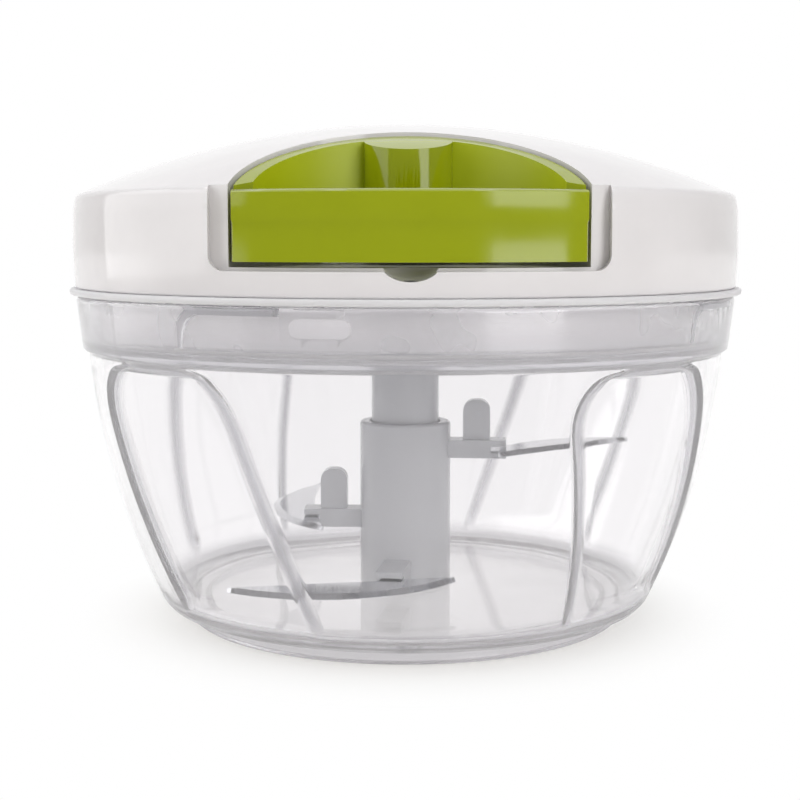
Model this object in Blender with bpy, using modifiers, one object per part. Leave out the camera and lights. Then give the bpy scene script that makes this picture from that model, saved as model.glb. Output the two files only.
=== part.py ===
"""Pull-cord food chopper: a clear panelled bowl, a three-blade unit and a domed lid.

A D-shaped handle parks in a pocket at the front of the lid. Its cord winds on a sprung
spool inside the lid, and the spool turns the blade unit through a ratchet and a dog.
Units are metres, +Z is up, the origin is the centre of the foot ring on the table,
and the handle is pulled towards -Y.
"""
import math

import bmesh
import bpy
from mathutils import Matrix

MM = 0.001
MERGE = 0.00001

# Clearances
SEAT_GAP = 0.3 * MM
RUNNING_GAP = 0.4 * MM
POCKET_GAP = 0.8 * MM

# Faces round a full turn
FINE_STEPS = 54
MIDDLE_STEPS = 26
SMALL_STEPS = 16
SCREW_STEPS = 8

# The two sizes that lead the others: the lid across and the bowl's height
LID_RADIUS = 65.3 * MM
COLLAR_TOP_Z = 64.2 * MM

# Bowl, each radius set in from the one above it
COLLAR_INSET = 0.4 * MM
COLLAR_WALL = 2.4 * MM
COLLAR_STEP = 1.0 * MM
COLLAR_DEPTH = 10.0 * MM
SHOULDER_RISE = 1.3 * MM
WALL_TOP_INSET = 2.2 * MM
WALL_MID_INSET = 4.3 * MM
WALL_BASE_INSET = 13.4 * MM
BOWL_WALL = 2.2 * MM
WALL_BASE_Z = 4.6 * MM
FOOT_INSET = 5.6 * MM
FOOT_WIDTH = 3.2 * MM
FOOT_HEIGHT = 3.4 * MM
UNDERSIDE_Z = 2.2 * MM
FLOOR_Z = 5.2 * MM
FLOOR_INSET = 0.7 * MM
HEEL_THICKENING = 0.9 * MM
PANEL_COUNT = 4
PANEL_DEPTH = 1.1 * MM
PANEL_TOP_DROP = 1.4 * MM
PANEL_FOOT_Z = 7.0 * MM
PANEL_LEFT_ANGLE = 28.0
PANEL_RIGHT_ANGLE = 59.3
PANEL_LEFT_SWIRL = 0.20
PANEL_RIGHT_SWIRL = 0.28
PANEL_LEFT_CORNER = 11.0
PANEL_RIGHT_CORNER = 6.0
PANEL_CORNER_RISE = 11.0 * MM
PANEL_EDGE_ANGLE = 1.2
# Heights of the rows round a panel's top corner, in corner rises below the top
CORNER_ROWS = (0.45, 0.16, 0.03, -0.05)
TRACK_COUNT = 4
TRACK_START = -37.5
TRACK_END = -19.5
TRACK_DEPTH = 1.5 * MM
TRACK_HEIGHT = 1.3 * MM
TRACK_STOP_ANGLE = 1.6

# Pivot pin in the bowl's floor
PIN_RADIUS = 2.0 * MM
PIN_LENGTH = 13.4 * MM
PIN_SEAT_Z = 3.3 * MM
PIN_BOSS_RADIUS = 4.6 * MM
PIN_BOSS_HEIGHT = 2.6 * MM

# Blade unit
SLEEVE_RADIUS = 9.2 * MM
SLEEVE_TOP_DROP = 19.2 * MM
CORE_RADIUS = 6.8 * MM
CORE_SEAT_RISE = 16.8 * MM
DOG_TOP_GAP = 0.8 * MM
DOG_NECK_RADIUS = 3.2 * MM
DOG_EAR_REACH = 5.6 * MM
DOG_WIDTH = 2.8 * MM
DOG_HEIGHT = 5.4 * MM
BLADE_THICKNESS = 0.8 * MM
BLADE_TIP_GAP = 6.1 * MM
ARM_SHARE = 0.418
ARM_WIDTH = 5.2 * MM
ARM_HEIGHT = 3.6 * MM
ARM_FORK_LENGTH = 3.1 * MM
TONGUE_WIDTH = 3.2 * MM
TONGUE_ROOT = 3.3 * MM
TONGUE_INTO_BLADE = 3.0 * MM
FIN_STAND_OFF = 2.6 * MM
FIN_LENGTH = 5.4 * MM
FIN_HEIGHT = 11.7 * MM
FIN_WIDTH = 3.0 * MM
FIN_ROUND = 1.4 * MM
BLADE_LOWER_RISE = 4.8 * MM
BLADE_MIDDLE_RISE = 13.7 * MM
BLADE_UPPER_RISE = 27.9 * MM
# Each blade: direction of its arm, then heel, cutting edge, tip and back edge in plan,
# each as a direction in degrees and a share of the longest blade's reach
BLADES = {
    "lower": (-100.0, (-60.3, 0.411), (-105.1, 0.666), (-142.6, 0.873), (-113.8, 0.480)),
    "middle": (178.0, (-139.8, 0.427), (161.3, 0.603), (116.0, 0.885), (154.7, 0.429)),
    "upper": (-5.0, (-34.8, 0.447), (1.6, 0.715), (11.8, 1.0), (13.6, 0.609)),
}

# Lid base
FLANGE_REACH = 0.9 * MM
FLANGE_THICKNESS = 1.2 * MM
SKIRT_WALL = 1.6 * MM
SKIRT_GAP = 0.3 * MM
SEAL_HEIGHT = 0.9 * MM
LUG_START = -18.4
LUG_END = -8.8
LUG_HEIGHT = 3.4 * MM
LUG_DROP = 1.7 * MM
HUB_SLEEVE_WALL = 1.8 * MM
HUB_SLEEVE_DROP = 4.5 * MM

# Lid cover
LID_TAPER = 0.7 * MM
LID_WALL = 2.2 * MM
LID_EDGE_FILLET = 1.8 * MM
LID_EDGE_ANGLE = 50.0
LID_HEIGHT = 31.3 * MM
DOME_RISE = 13.9 * MM
HANDLE_HALF_WIDTH = 29.0 * MM
POCKET_FLOOR_RISE = 4.6 * MM
POCKET_WALL = 2.0 * MM
POCKET_TO_CAP = 3.2 * MM
NOTCH_MARGIN = 4.0 * MM
NOTCH_LEDGE_DROP = 0.6 * MM
NOTCH_SETBACK = 1.6 * MM
THUMB_WIDTH = 9.6 * MM
THUMB_DEPTH = 2.2 * MM
THUMB_LENGTH = 14.0 * MM

# Handle
HANDLE_FRONT_REACH = 0.1 * MM
HANDLE_BOTTOM_GAP = 0.9 * MM
HANDLE_BAR_HEIGHT = 11.7 * MM
HANDLE_BAR_THICKNESS = 9.0 * MM
HANDLE_WALL = 3.2 * MM
HANDLE_DOME_DROP = 0.6 * MM
HANDLE_STEP_DROP = 5.0 * MM
HANDLE_STEP_DEPTH = 0.5 * MM
HANDLE_STEP_ANGLE = 25.2
ANCHOR_RADIUS = 7.8 * MM
ANCHOR_OVERLAP = 3.6 * MM
KNOT_RADIUS = 2.2 * MM
KNOT_SETBACK = 6.6 * MM

# Cord and spool
CORD_RADIUS = 0.9 * MM
SPOOL_CORE_RADIUS = 12.7 * MM
SPOOL_LIP = 8.8 * MM
SPOOL_FLANGE = 1.6 * MM
SPOOL_GROOVE = 5.6 * MM
SPOOL_CAVITY_WALL = 1.7 * MM
AXLE_RADIUS = 2.5 * MM
AXLE_HEAD_LIP = 2.0 * MM
AXLE_HEAD_HEIGHT = 1.2 * MM
SPRING_THICKNESS = 0.4 * MM
SPRING_TOP_GAP = 2.4 * MM
SPRING_TURNS = 3
SPRING_COVER = 0.8 * MM
GUIDE_WALL = 1.3 * MM
GUIDE_LIP = 1.2 * MM
GUIDE_FLANGE = 0.9 * MM
GUIDE_BORE = 1.3 * MM

# Drive hub and ratchet
HUB_RADIUS = 8.0 * MM
HUB_WALL = 1.8 * MM
HUB_SOCKET_DEPTH = 6.0 * MM
HUB_DROP = 6.7 * MM
HUB_FLANGE = 1.9 * MM
HUB_FLOOR = 0.4 * MM
HUB_RIM_STEP = 0.5 * MM
HUB_KEY_WIDTH = 2.8 * MM
HUB_KEY_REACH = 3.9 * MM
WASHER_WIDTH = 5.6 * MM
WASHER_HEIGHT = 0.8 * MM
RATCHET_OUTER_RADIUS = 20.0 * MM
RATCHET_RIM = 2.0 * MM
RATCHET_TOOTH = 2.0 * MM
RATCHET_TEETH = 12
RATCHET_HEIGHT = 3.2 * MM
PAWL_COUNT = 2
PAWL_PIVOT_INSET = 7.0 * MM
PAWL_PIVOT_RADIUS = 1.1 * MM
PAWL_EYE_WALL = 1.3 * MM
PAWL_TIP_INSET = 3.1 * MM
PAWL_TIP_ANGLE = 45.0
PAWL_TIP_WIDTH = 1.2 * MM
PAWL_FACE_GAP = 5.5
PAWL_EYE_START = 80.0

# Mechanism cap
CAP_RADIUS = 26.0 * MM
CAP_WALL = 1.6 * MM
CAP_EAR_RADIUS = 3.6 * MM
CAP_EAR_REACH = 3.0 * MM
CAP_EAR_HEIGHT = 2.4 * MM
CAP_EAR_ANGLES = (90.0, 210.0, 330.0)
CAP_WINDOW_LEFT = 10.4 * MM
CAP_WINDOW_RIGHT = 2.6 * MM
CAP_WINDOW_DEPTH = 5.2 * MM

# Screws
COVER_BOSS_RADIUS = 3.2 * MM
COVER_BOSS_INSET = 12.3 * MM
COVER_BOSS_ANGLES = (40.0, 140.0, 200.0, 340.0)
SCREW_RADIUS = 1.2 * MM
SCREW_HEAD_RADIUS = 2.5 * MM
SCREW_HEAD_HEIGHT = 1.3 * MM
COVER_SCREW_LENGTH = 9.0 * MM
CAP_SCREW_LENGTH = 4.0 * MM

# Levels and radii that follow from the sizes above
COLLAR_TOP_RADIUS = LID_RADIUS - COLLAR_INSET
COLLAR_INNER_RADIUS = COLLAR_TOP_RADIUS - COLLAR_WALL
COLLAR_BOTTOM_Z = COLLAR_TOP_Z - COLLAR_DEPTH
SHOULDER_Z = COLLAR_BOTTOM_Z + SHOULDER_RISE
WALL_TOP_RADIUS = COLLAR_TOP_RADIUS - WALL_TOP_INSET
WALL_MID_RADIUS = WALL_TOP_RADIUS - WALL_MID_INSET
WALL_MID_Z = (WALL_BASE_Z + COLLAR_BOTTOM_Z) / 2
WALL_BASE_RADIUS = WALL_TOP_RADIUS - WALL_BASE_INSET
FOOT_RADIUS = WALL_BASE_RADIUS - FOOT_INSET
FLOOR_RADIUS = FOOT_RADIUS - FLOOR_INSET
PANEL_TOP_Z = COLLAR_BOTTOM_Z - PANEL_TOP_DROP
PIN_BOTTOM_Z = PIN_SEAT_Z + SEAT_GAP
PIN_TOP_Z = PIN_BOTTOM_Z + PIN_LENGTH
BLADE_SPAN = WALL_MID_RADIUS - BOWL_WALL - PANEL_DEPTH - BLADE_TIP_GAP
TRACK_RADIUS = COLLAR_INNER_RADIUS - TRACK_DEPTH
SKIRT_RADIUS = TRACK_RADIUS - SKIRT_GAP
SKIRT_BOTTOM_Z = SHOULDER_Z + SEAL_HEIGHT + 2 * SEAT_GAP
LUG_RADIUS = COLLAR_INNER_RADIUS - SKIRT_GAP
FLANGE_Z = COLLAR_TOP_Z + SEAT_GAP
FLANGE_RADIUS = LID_RADIUS + FLANGE_REACH
PLATE_TOP_Z = FLANGE_Z + FLANGE_THICKNESS
LUG_TOP_Z = FLANGE_Z - LUG_DROP - SEAT_GAP
TRACK_Z = LUG_TOP_Z + SEAT_GAP
LID_BOTTOM_Z = PLATE_TOP_Z + SEAT_GAP
LID_TOP_RADIUS = LID_RADIUS - LID_TAPER
DOME_APEX_Z = LID_BOTTOM_Z + LID_HEIGHT
DOME_RADIUS = LID_TOP_RADIUS * LID_TOP_RADIUS / (2 * DOME_RISE)
COVER_BOSS_OFFSET = LID_RADIUS - COVER_BOSS_INSET
WASHER_Z = PLATE_TOP_Z + SEAT_GAP
HUB_FLANGE_Z = WASHER_Z + WASHER_HEIGHT + SEAT_GAP
HUB_BORE_Z = HUB_FLANGE_Z + HUB_FLOOR
HUB_BOTTOM_Z = FLANGE_Z - HUB_DROP
HUB_SOCKET_RADIUS = HUB_RADIUS - HUB_WALL
RATCHET_Z = HUB_FLANGE_Z + HUB_FLANGE
RATCHET_TOP_Z = RATCHET_Z + RATCHET_HEIGHT
RATCHET_ROOT_RADIUS = RATCHET_OUTER_RADIUS - RATCHET_RIM
RATCHET_TIP_RADIUS = RATCHET_ROOT_RADIUS - RATCHET_TOOTH
PAWL_PIVOT = RATCHET_OUTER_RADIUS - PAWL_PIVOT_INSET
PAWL_TIP_RADIUS = RATCHET_OUTER_RADIUS - PAWL_TIP_INSET
PAWL_EYE_RADIUS = PAWL_PIVOT_RADIUS + PAWL_EYE_WALL
SPOOL_BOTTOM_Z = RATCHET_TOP_Z + RUNNING_GAP
SPOOL_HEIGHT = 2 * SPOOL_FLANGE + SPOOL_GROOVE
SPOOL_TOP_Z = SPOOL_BOTTOM_Z + SPOOL_HEIGHT
SPOOL_FLANGE_RADIUS = SPOOL_CORE_RADIUS + SPOOL_LIP
GROOVE_Z = SPOOL_BOTTOM_Z + SPOOL_FLANGE
CAP_ROOF_Z = SPOOL_TOP_Z + SPRING_COVER + 2 * RUNNING_GAP + SEAT_GAP
CAP_TOP_Z = CAP_ROOF_Z + CAP_WALL
CAP_EAR_OFFSET = CAP_RADIUS + CAP_EAR_REACH
SPOOL_CAVITY_RADIUS = SPOOL_CORE_RADIUS - SPOOL_CAVITY_WALL
SPRING_HEIGHT = SPOOL_TOP_Z - GROOVE_Z - SPRING_TOP_GAP - RUNNING_GAP
WOUND_RADIUS = SPOOL_CORE_RADIUS + SEAT_GAP + 2 * CORD_RADIUS
CORD_LINE_RADIUS = WOUND_RADIUS + SEAT_GAP + CORD_RADIUS
CORD_Z = GROOVE_Z + SPOOL_GROOVE / 2
GUIDE_RADIUS = GUIDE_BORE + GUIDE_WALL
GUIDE_FLANGE_RADIUS = GUIDE_RADIUS + GUIDE_LIP
PLATE_HOLE_RADIUS = HUB_RADIUS + RUNNING_GAP
POCKET_FLOOR_Z = LID_BOTTOM_Z + POCKET_FLOOR_RISE
POCKET_OUTER_BACK_Y = -CAP_RADIUS - POCKET_TO_CAP
POCKET_BACK_Y = POCKET_OUTER_BACK_Y - POCKET_WALL
NOTCH_HALF_WIDTH = HANDLE_HALF_WIDTH + NOTCH_MARGIN
NOTCH_LEDGE_Z = POCKET_FLOOR_Z - NOTCH_LEDGE_DROP
HANDLE_BOTTOM_Z = POCKET_FLOOR_Z + HANDLE_BOTTOM_GAP
HANDLE_BAR_TOP_Z = HANDLE_BOTTOM_Z + HANDLE_BAR_HEIGHT
HANDLE_STEP_Z = HANDLE_BAR_TOP_Z - HANDLE_STEP_DROP
HANDLE_FRONT_RADIUS = LID_TOP_RADIUS + HANDLE_FRONT_REACH
HANDLE_BACK_Y = POCKET_BACK_Y - POCKET_GAP
HANDLE_ARC_Y = -math.sqrt(HANDLE_FRONT_RADIUS ** 2 - HANDLE_HALF_WIDTH ** 2)
HANDLE_DEPTH = HANDLE_BACK_Y - HANDLE_ARC_Y
KNOT_Y = HANDLE_BACK_Y - KNOT_SETBACK
CORE_TOP_Z = HUB_BOTTOM_Z - DOG_TOP_GAP
CORE_SEAT_Z = FLOOR_Z + CORE_SEAT_RISE
DOG_TOP_Z = CORE_TOP_Z + DOG_HEIGHT
SLEEVE_TOP_Z = HUB_BOTTOM_Z - SLEEVE_TOP_DROP
FIN_START = SLEEVE_RADIUS + FIN_STAND_OFF
ARM_END = BLADE_SPAN * ARM_SHARE
TONGUE_START = SLEEVE_RADIUS + TONGUE_ROOT
FORK_START = ARM_END - ARM_FORK_LENGTH
BLADE_LEVELS = {
    "lower": FLOOR_Z + BLADE_LOWER_RISE,
    "middle": FLOOR_Z + BLADE_MIDDLE_RISE,
    "upper": FLOOR_Z + BLADE_UPPER_RISE,
}
# Room that a cutter takes beyond what it cuts
PAST = 1.0 * MM
HIGH_Z = DOME_APEX_Z + 10 * PAST
FRONT_Y = -LID_RADIUS - 5 * PAST


def dome_z(radius, apex=DOME_APEX_Z):
    """Height of the shallow dome at a distance from the axis."""
    return apex - radius * radius / (2 * DOME_RADIUS)


def remove_everything():
    """Empty the scene before the model is built."""
    for obj in list(bpy.data.objects):
        bpy.data.objects.remove(obj, do_unlink=True)


def new_collection(name):
    """Make a collection in the scene."""
    collection = bpy.data.collections.new(name)
    bpy.context.scene.collection.children.link(collection)
    return collection


remove_everything()
PARTS = new_collection("pull_cord_chopper")
CUTTERS = new_collection("cutters")


def make_material(name, color, roughness, metallic=0.0, transmission=0.0):
    """A Principled material."""
    material = bpy.data.materials.new(name)
    material.use_nodes = True
    shader = material.node_tree.nodes["Principled BSDF"]
    shader.inputs["Base Color"].default_value = (*color, 1.0)
    shader.inputs["Roughness"].default_value = roughness
    shader.inputs["Metallic"].default_value = metallic
    shader.inputs["Transmission Weight"].default_value = transmission
    return material


FINISHES = {
    "clear": ((0.95, 0.94, 0.92), 0.05, 0.0, 1.0),
    "frosted": ((0.82, 0.82, 0.84), 0.45, 0.0, 0.4),
    "white": ((0.86, 0.85, 0.84), 0.18, 0.0, 0.0),
    "green": ((0.30, 0.38, 0.01), 0.22, 0.0, 0.0),
    "grey": ((0.33, 0.34, 0.36), 0.35, 0.0, 0.0),
    "steel": ((0.55, 0.56, 0.58), 0.22, 1.0, 0.0),
    "black": ((0.03, 0.03, 0.03), 0.4, 0.0, 0.0),
    "rubber": ((0.75, 0.75, 0.74), 0.6, 0.0, 0.0),
    "cord": ((0.8, 0.8, 0.78), 0.8, 0.0, 0.0),
}


def link(obj, collection, finish=None):
    """Put an object in one collection and give it its own material."""
    for other in list(obj.users_collection):
        other.objects.unlink(obj)
    collection.objects.link(obj)
    if finish:
        obj.data.materials.clear()
        obj.data.materials.append(make_material(obj.name, *FINISHES[finish]))
    return obj


def part(obj, name, finish):
    """Name a finished piece and keep it with the parts."""
    obj.name = name
    obj.data.name = name
    if obj.type == "MESH":
        obj.data.shade_smooth()
        obj.data.set_sharp_from_angle(angle=math.radians(35))
    return link(obj, PARTS, finish)


def cutter(obj):
    """Keep a tool body among the cutters, out of the model."""
    link(obj, CUTTERS)
    obj.hide_render = True
    obj.display_type = "WIRE"
    return obj


def mesh_object(mesh):
    """Wrap a mesh in an object that is linked to the scene."""
    obj = bpy.data.objects.new(mesh.name, mesh)
    bpy.context.scene.collection.objects.link(obj)
    return obj


def turned(profile, steps, closed=True):
    """Turn a profile of (radius, height) points about the Z axis with a Screw modifier."""
    mesh = bpy.data.meshes.new("turned")
    points = [(radius, 0.0, height) for radius, height in profile]
    edges = [(i, i + 1) for i in range(len(points) - 1)]
    if closed:
        edges.append((len(points) - 1, 0))
    mesh.from_pydata(points, edges, [])
    obj = mesh_object(mesh)
    screw = obj.modifiers.new("turn", "SCREW")
    screw.steps = steps
    screw.render_steps = steps
    screw.use_merge_vertices = True
    screw.merge_threshold = MERGE
    return obj


def baked(obj):
    """Replace an object by the mesh that its modifiers or its curve make."""
    bpy.context.view_layer.update()
    depsgraph = bpy.context.evaluated_depsgraph_get()
    mesh = bpy.data.meshes.new_from_object(obj.evaluated_get(depsgraph))
    shape = bmesh.new()
    shape.from_mesh(mesh)
    bmesh.ops.remove_doubles(shape, verts=shape.verts, dist=MERGE)
    bmesh.ops.recalc_face_normals(shape, faces=shape.faces)
    shape.to_mesh(mesh)
    shape.free()
    result = mesh_object(mesh)
    result.matrix_world = obj.matrix_world
    bpy.data.objects.remove(obj, do_unlink=True)
    return result


def box(low, high):
    """A box between two corners."""
    center = [(a + b) / 2 for a, b in zip(low, high)]
    bpy.ops.mesh.primitive_cube_add(size=1.0, location=center)
    obj = bpy.context.object
    obj.scale = [b - a for a, b in zip(low, high)]
    bpy.ops.object.transform_apply(location=True, rotation=False, scale=True)
    return obj


def rod(radius, low_z, high_z, x=0.0, y=0.0, sides=24):
    """An upright cylinder."""
    bpy.ops.mesh.primitive_cylinder_add(
        vertices=sides, radius=radius, depth=high_z - low_z,
        location=(x, y, (low_z + high_z) / 2))
    bpy.ops.object.transform_apply(location=True, rotation=True, scale=True)
    return bpy.context.object


def rod_along_y(radius, low_y, high_y, x, z, sides=20):
    """A cylinder that lies along Y."""
    bpy.ops.mesh.primitive_cylinder_add(
        vertices=sides, radius=radius, depth=high_y - low_y,
        location=(x, (low_y + high_y) / 2, z), rotation=(math.pi / 2, 0, 0))
    bpy.ops.object.transform_apply(location=True, rotation=True, scale=True)
    return bpy.context.object


def flat(outlines, low_z, high_z):
    """Flat outlines, each a loop of (x, y) points, filled and given a thickness."""
    curve = bpy.data.curves.new("flat", "CURVE")
    curve.dimensions = "2D"
    curve.fill_mode = "BOTH"
    curve.extrude = (high_z - low_z) / 2
    for outline in outlines:
        spline = curve.splines.new("POLY")
        spline.points.add(len(outline) - 1)
        for point, (x, y) in zip(spline.points, outline):
            point.co = (x, y, 0, 1)
        spline.use_cyclic_u = True
    obj = bpy.data.objects.new("flat", curve)
    bpy.context.scene.collection.objects.link(obj)
    obj.location.z = (low_z + high_z) / 2
    result = baked(obj)
    result.data.transform(result.matrix_world)
    result.matrix_world.identity()
    return result


def turned_by(obj, degrees):
    """Turn a mesh about the Z axis through the origin."""
    obj.data.transform(Matrix.Rotation(math.radians(degrees), 4, "Z"))
    return obj


def boolean(obj, tool, operation):
    """Cut, join or keep the common part of two solids."""
    modifier = obj.modifiers.new(operation.lower(), "BOOLEAN")
    modifier.operation = operation
    modifier.solver = "EXACT"
    modifier.object = cutter(tool)
    return obj


def cut(obj, *tools):
    """Cut each tool from the object."""
    for tool in tools:
        boolean(obj, tool, "DIFFERENCE")
    return obj


def join(obj, *tools):
    """Join each tool to the object."""
    for tool in tools:
        boolean(obj, tool, "UNION")
    return obj


def polar(radius, degrees):
    """A point in plan from its distance and direction."""
    angle = math.radians(degrees)
    return (radius * math.cos(angle), radius * math.sin(angle))


def arc(radius, start, end, count, center=(0.0, 0.0), squash=1.0):
    """Points along an arc, with the second axis scaled for an ellipse."""
    points = []
    for i in range(count + 1):
        x, y = polar(radius, start + (end - start) * i / count)
        points.append((center[0] + x, center[1] + y * squash))
    return points


def circle_through(first, middle, last):
    """Center and radius of the circle through three points."""
    (ax, ay), (bx, by), (cx, cy) = first, middle, last
    d = 2 * (ax * (by - cy) + bx * (cy - ay) + cx * (ay - by))
    a2, b2, c2 = ax * ax + ay * ay, bx * bx + by * by, cx * cx + cy * cy
    ux = (a2 * (by - cy) + b2 * (cy - ay) + c2 * (ay - by)) / d
    uy = (a2 * (cx - bx) + b2 * (ax - cx) + c2 * (bx - ax)) / d
    return ux, uy, math.hypot(ax - ux, ay - uy)


def arc_through(first, middle, last, count):
    """Points along the circle through three points, ends included."""
    ux, uy, radius = circle_through(first, middle, last)
    start, through, end = [math.degrees(math.atan2(y - uy, x - ux))
                           for x, y in (first, middle, last)]
    sweep = (end - start) % 360
    if (through - start) % 360 > sweep:
        sweep -= 360
    return arc(radius, start, start + sweep, count, (ux, uy))


def ring_sector(inner, outer, low_z, high_z, start, end):
    """A block between two radii and two directions, counted from the front towards +X."""
    count = max(2, round((end - start) / 5))
    outline = arc(outer, start - 90, end - 90, count) + arc(inner, end - 90, start - 90, count)
    return flat([outline], low_z, high_z)


def wall_radius(z):
    """Outer radius of the bowl's curved wall at a height."""
    ux, uz, radius = circle_through(
        (WALL_BASE_RADIUS, WALL_BASE_Z), (WALL_MID_RADIUS, WALL_MID_Z),
        (WALL_TOP_RADIUS, COLLAR_BOTTOM_Z))
    return ux + math.sqrt(radius * radius - (z - uz) ** 2)


def bowl_profile():
    """Half section of the bowl, from the pin's seat up the inside and down the outside."""
    hole = PIN_RADIUS + SEAT_GAP
    boss_top = FLOOR_Z + PIN_BOSS_HEIGHT
    rise = WALL_BASE_Z + BOWL_WALL
    top = PANEL_TOP_Z
    rows = [rise + (top - PANEL_CORNER_RISE - rise) * i / 3 for i in range(4)]
    rows += [top - PANEL_CORNER_RISE * share for share in CORNER_ROWS]
    inside = [(wall_radius(z) - BOWL_WALL, z) for z in rows]
    outside = [(wall_radius(z), z) for z in reversed(rows)]
    return [
        (0, PIN_SEAT_Z), (hole, PIN_SEAT_Z), (hole, boss_top), (PIN_BOSS_RADIUS, boss_top),
        (PIN_BOSS_RADIUS, FLOOR_Z), (FLOOR_RADIUS, FLOOR_Z),
        (inside[0][0] - HEEL_THICKENING, (FLOOR_Z + rise) / 2),
        *inside,
        (WALL_TOP_RADIUS - BOWL_WALL, SHOULDER_Z), (COLLAR_INNER_RADIUS, SHOULDER_Z),
        (COLLAR_INNER_RADIUS, COLLAR_TOP_Z), (COLLAR_TOP_RADIUS, COLLAR_TOP_Z),
        (WALL_TOP_RADIUS + COLLAR_STEP, COLLAR_BOTTOM_Z), (WALL_TOP_RADIUS, COLLAR_BOTTOM_Z),
        *outside,
        (WALL_BASE_RADIUS, WALL_BASE_Z), (WALL_BASE_RADIUS - BOWL_WALL / 2, FOOT_HEIGHT),
        (FOOT_RADIUS, FOOT_HEIGHT), (FOOT_RADIUS, 0),
        (FOOT_RADIUS - FOOT_WIDTH, 0), (FOOT_RADIUS - FOOT_WIDTH, UNDERSIDE_Z),
        (0, UNDERSIDE_Z),
    ]


# Columns of faces in one panel and the plain field beside it
PANEL_COLUMNS = 5
FIELD_COLUMNS = 7
SECTOR_COLUMNS = PANEL_COLUMNS + FIELD_COLUMNS + 2


def panel_edges(z):
    """Directions of a panel's two upright edges at a height, swirled and round at the top."""
    low = PANEL_TOP_Z - PANEL_CORNER_RISE
    t = min(max((z - low) / PANEL_CORNER_RISE, 0.0), 1.0)
    lean = 1 - math.sqrt(1 - t * t)
    height = min(z, PANEL_TOP_Z)
    left = PANEL_LEFT_ANGLE + PANEL_LEFT_SWIRL * (low - height) / MM
    right = PANEL_RIGHT_ANGLE + PANEL_RIGHT_SWIRL * (PANEL_TOP_Z - height) / MM
    return left + PANEL_LEFT_CORNER * lean, right - PANEL_RIGHT_CORNER * lean


def column_angle(column, z):
    """Direction of a column of points, gathered at the panels' edges."""
    left, right = panel_edges(z)
    sector, place = divmod(column, SECTOR_COLUMNS)
    keys = [(0, left - PANEL_EDGE_ANGLE), (1, left + PANEL_EDGE_ANGLE),
            (1 + PANEL_COLUMNS, right - PANEL_EDGE_ANGLE),
            (2 + PANEL_COLUMNS, right + PANEL_EDGE_ANGLE),
            (SECTOR_COLUMNS, left - PANEL_EDGE_ANGLE + 360 / PANEL_COUNT)]
    for (i, low), (j, high) in zip(keys, keys[1:]):
        if i <= place <= j:
            angle = low + (high - low) * (place - i) / (j - i)
            break
    return angle + sector * 360 / PANEL_COUNT


def panel_depth(column, z):
    """How far a column of the wall stands back at a height."""
    if not 1 <= column % SECTOR_COLUMNS <= 1 + PANEL_COLUMNS:
        return 0.0
    fade = min(max((z - PANEL_FOOT_Z) / (PANEL_DEPTH * 2), 0.0), 1.0)
    return PANEL_DEPTH * fade if z < PANEL_TOP_Z else 0.0


def make_bowl():
    """Clear bowl: foot ring, floor with the pin's boss, panelled wall and bayonet collar."""
    columns = SECTOR_COLUMNS * PANEL_COUNT
    bowl = baked(turned(bowl_profile(), columns, closed=False))
    for vertex in bowl.data.vertices:
        x, y, z = vertex.co
        radius = math.hypot(x, y)
        if radius < PIN_RADIUS / 2:
            continue
        column = round(math.degrees(math.atan2(y, x)) % 360 / 360 * columns) % columns
        if WALL_BASE_Z < z < COLLAR_BOTTOM_Z and radius > FLOOR_RADIUS:
            radius -= panel_depth(column, z)
        vertex.co.x, vertex.co.y = polar(radius, column_angle(column, z) - 90)
    for i in range(TRACK_COUNT):
        turn = i * 360 / TRACK_COUNT
        outer = COLLAR_INNER_RADIUS + COLLAR_WALL / 4
        track_top = TRACK_Z + TRACK_HEIGHT
        stop_end = TRACK_START + TRACK_STOP_ANGLE
        join(bowl,
             ring_sector(TRACK_RADIUS, outer, TRACK_Z, track_top,
                         TRACK_START + turn, TRACK_END + turn),
             ring_sector(TRACK_RADIUS, outer, SKIRT_BOTTOM_Z, TRACK_Z + SEAT_GAP,
                         TRACK_START + turn, stop_end + turn))
    return part(bowl, "bowl", "clear")


def make_bowl_pin():
    """Steel pin that the blade unit turns on, its tip chamfered."""
    chamfer = PIN_RADIUS / 2
    profile = [(0, PIN_TOP_Z), (PIN_RADIUS - chamfer, PIN_TOP_Z),
               (PIN_RADIUS, PIN_TOP_Z - chamfer),
               (PIN_RADIUS, PIN_BOTTOM_Z), (0, PIN_BOTTOM_Z)]
    return part(turned(profile, SMALL_STEPS, closed=False), "bowl_pin", "steel")


def make_arm(direction, blade_z, fin):
    """Arm of the sleeve that grips one blade, some with an upright scraper fin."""
    half = ARM_HEIGHT / 2
    arm = box((SLEEVE_RADIUS - PAST, -ARM_WIDTH / 2, blade_z - half),
              (ARM_END, ARM_WIDTH / 2, blade_z + half))
    if fin:
        low = blade_z - half
        tab = box((FIN_START, -FIN_WIDTH / 2, low),
                  (FIN_START + FIN_LENGTH, FIN_WIDTH / 2, low + FIN_HEIGHT))
        round_top(tab, low + FIN_HEIGHT)
        join(arm, tab)
        arm = baked(arm)
    return turned_by(arm, direction)


def round_top(obj, top_z):
    """Round the two upper corners of a fin that stands along X."""
    shape = bmesh.new()
    shape.from_mesh(obj.data)
    corners = [edge for edge in shape.edges
               if all(abs(v.co.z - top_z) < MERGE for v in edge.verts)
               and abs(edge.verts[0].co.x - edge.verts[1].co.x) < MERGE]
    bmesh.ops.bevel(shape, geom=corners, offset=FIN_ROUND, segments=4, affect="EDGES",
                    profile=0.5)
    shape.to_mesh(obj.data)
    shape.free()


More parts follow.
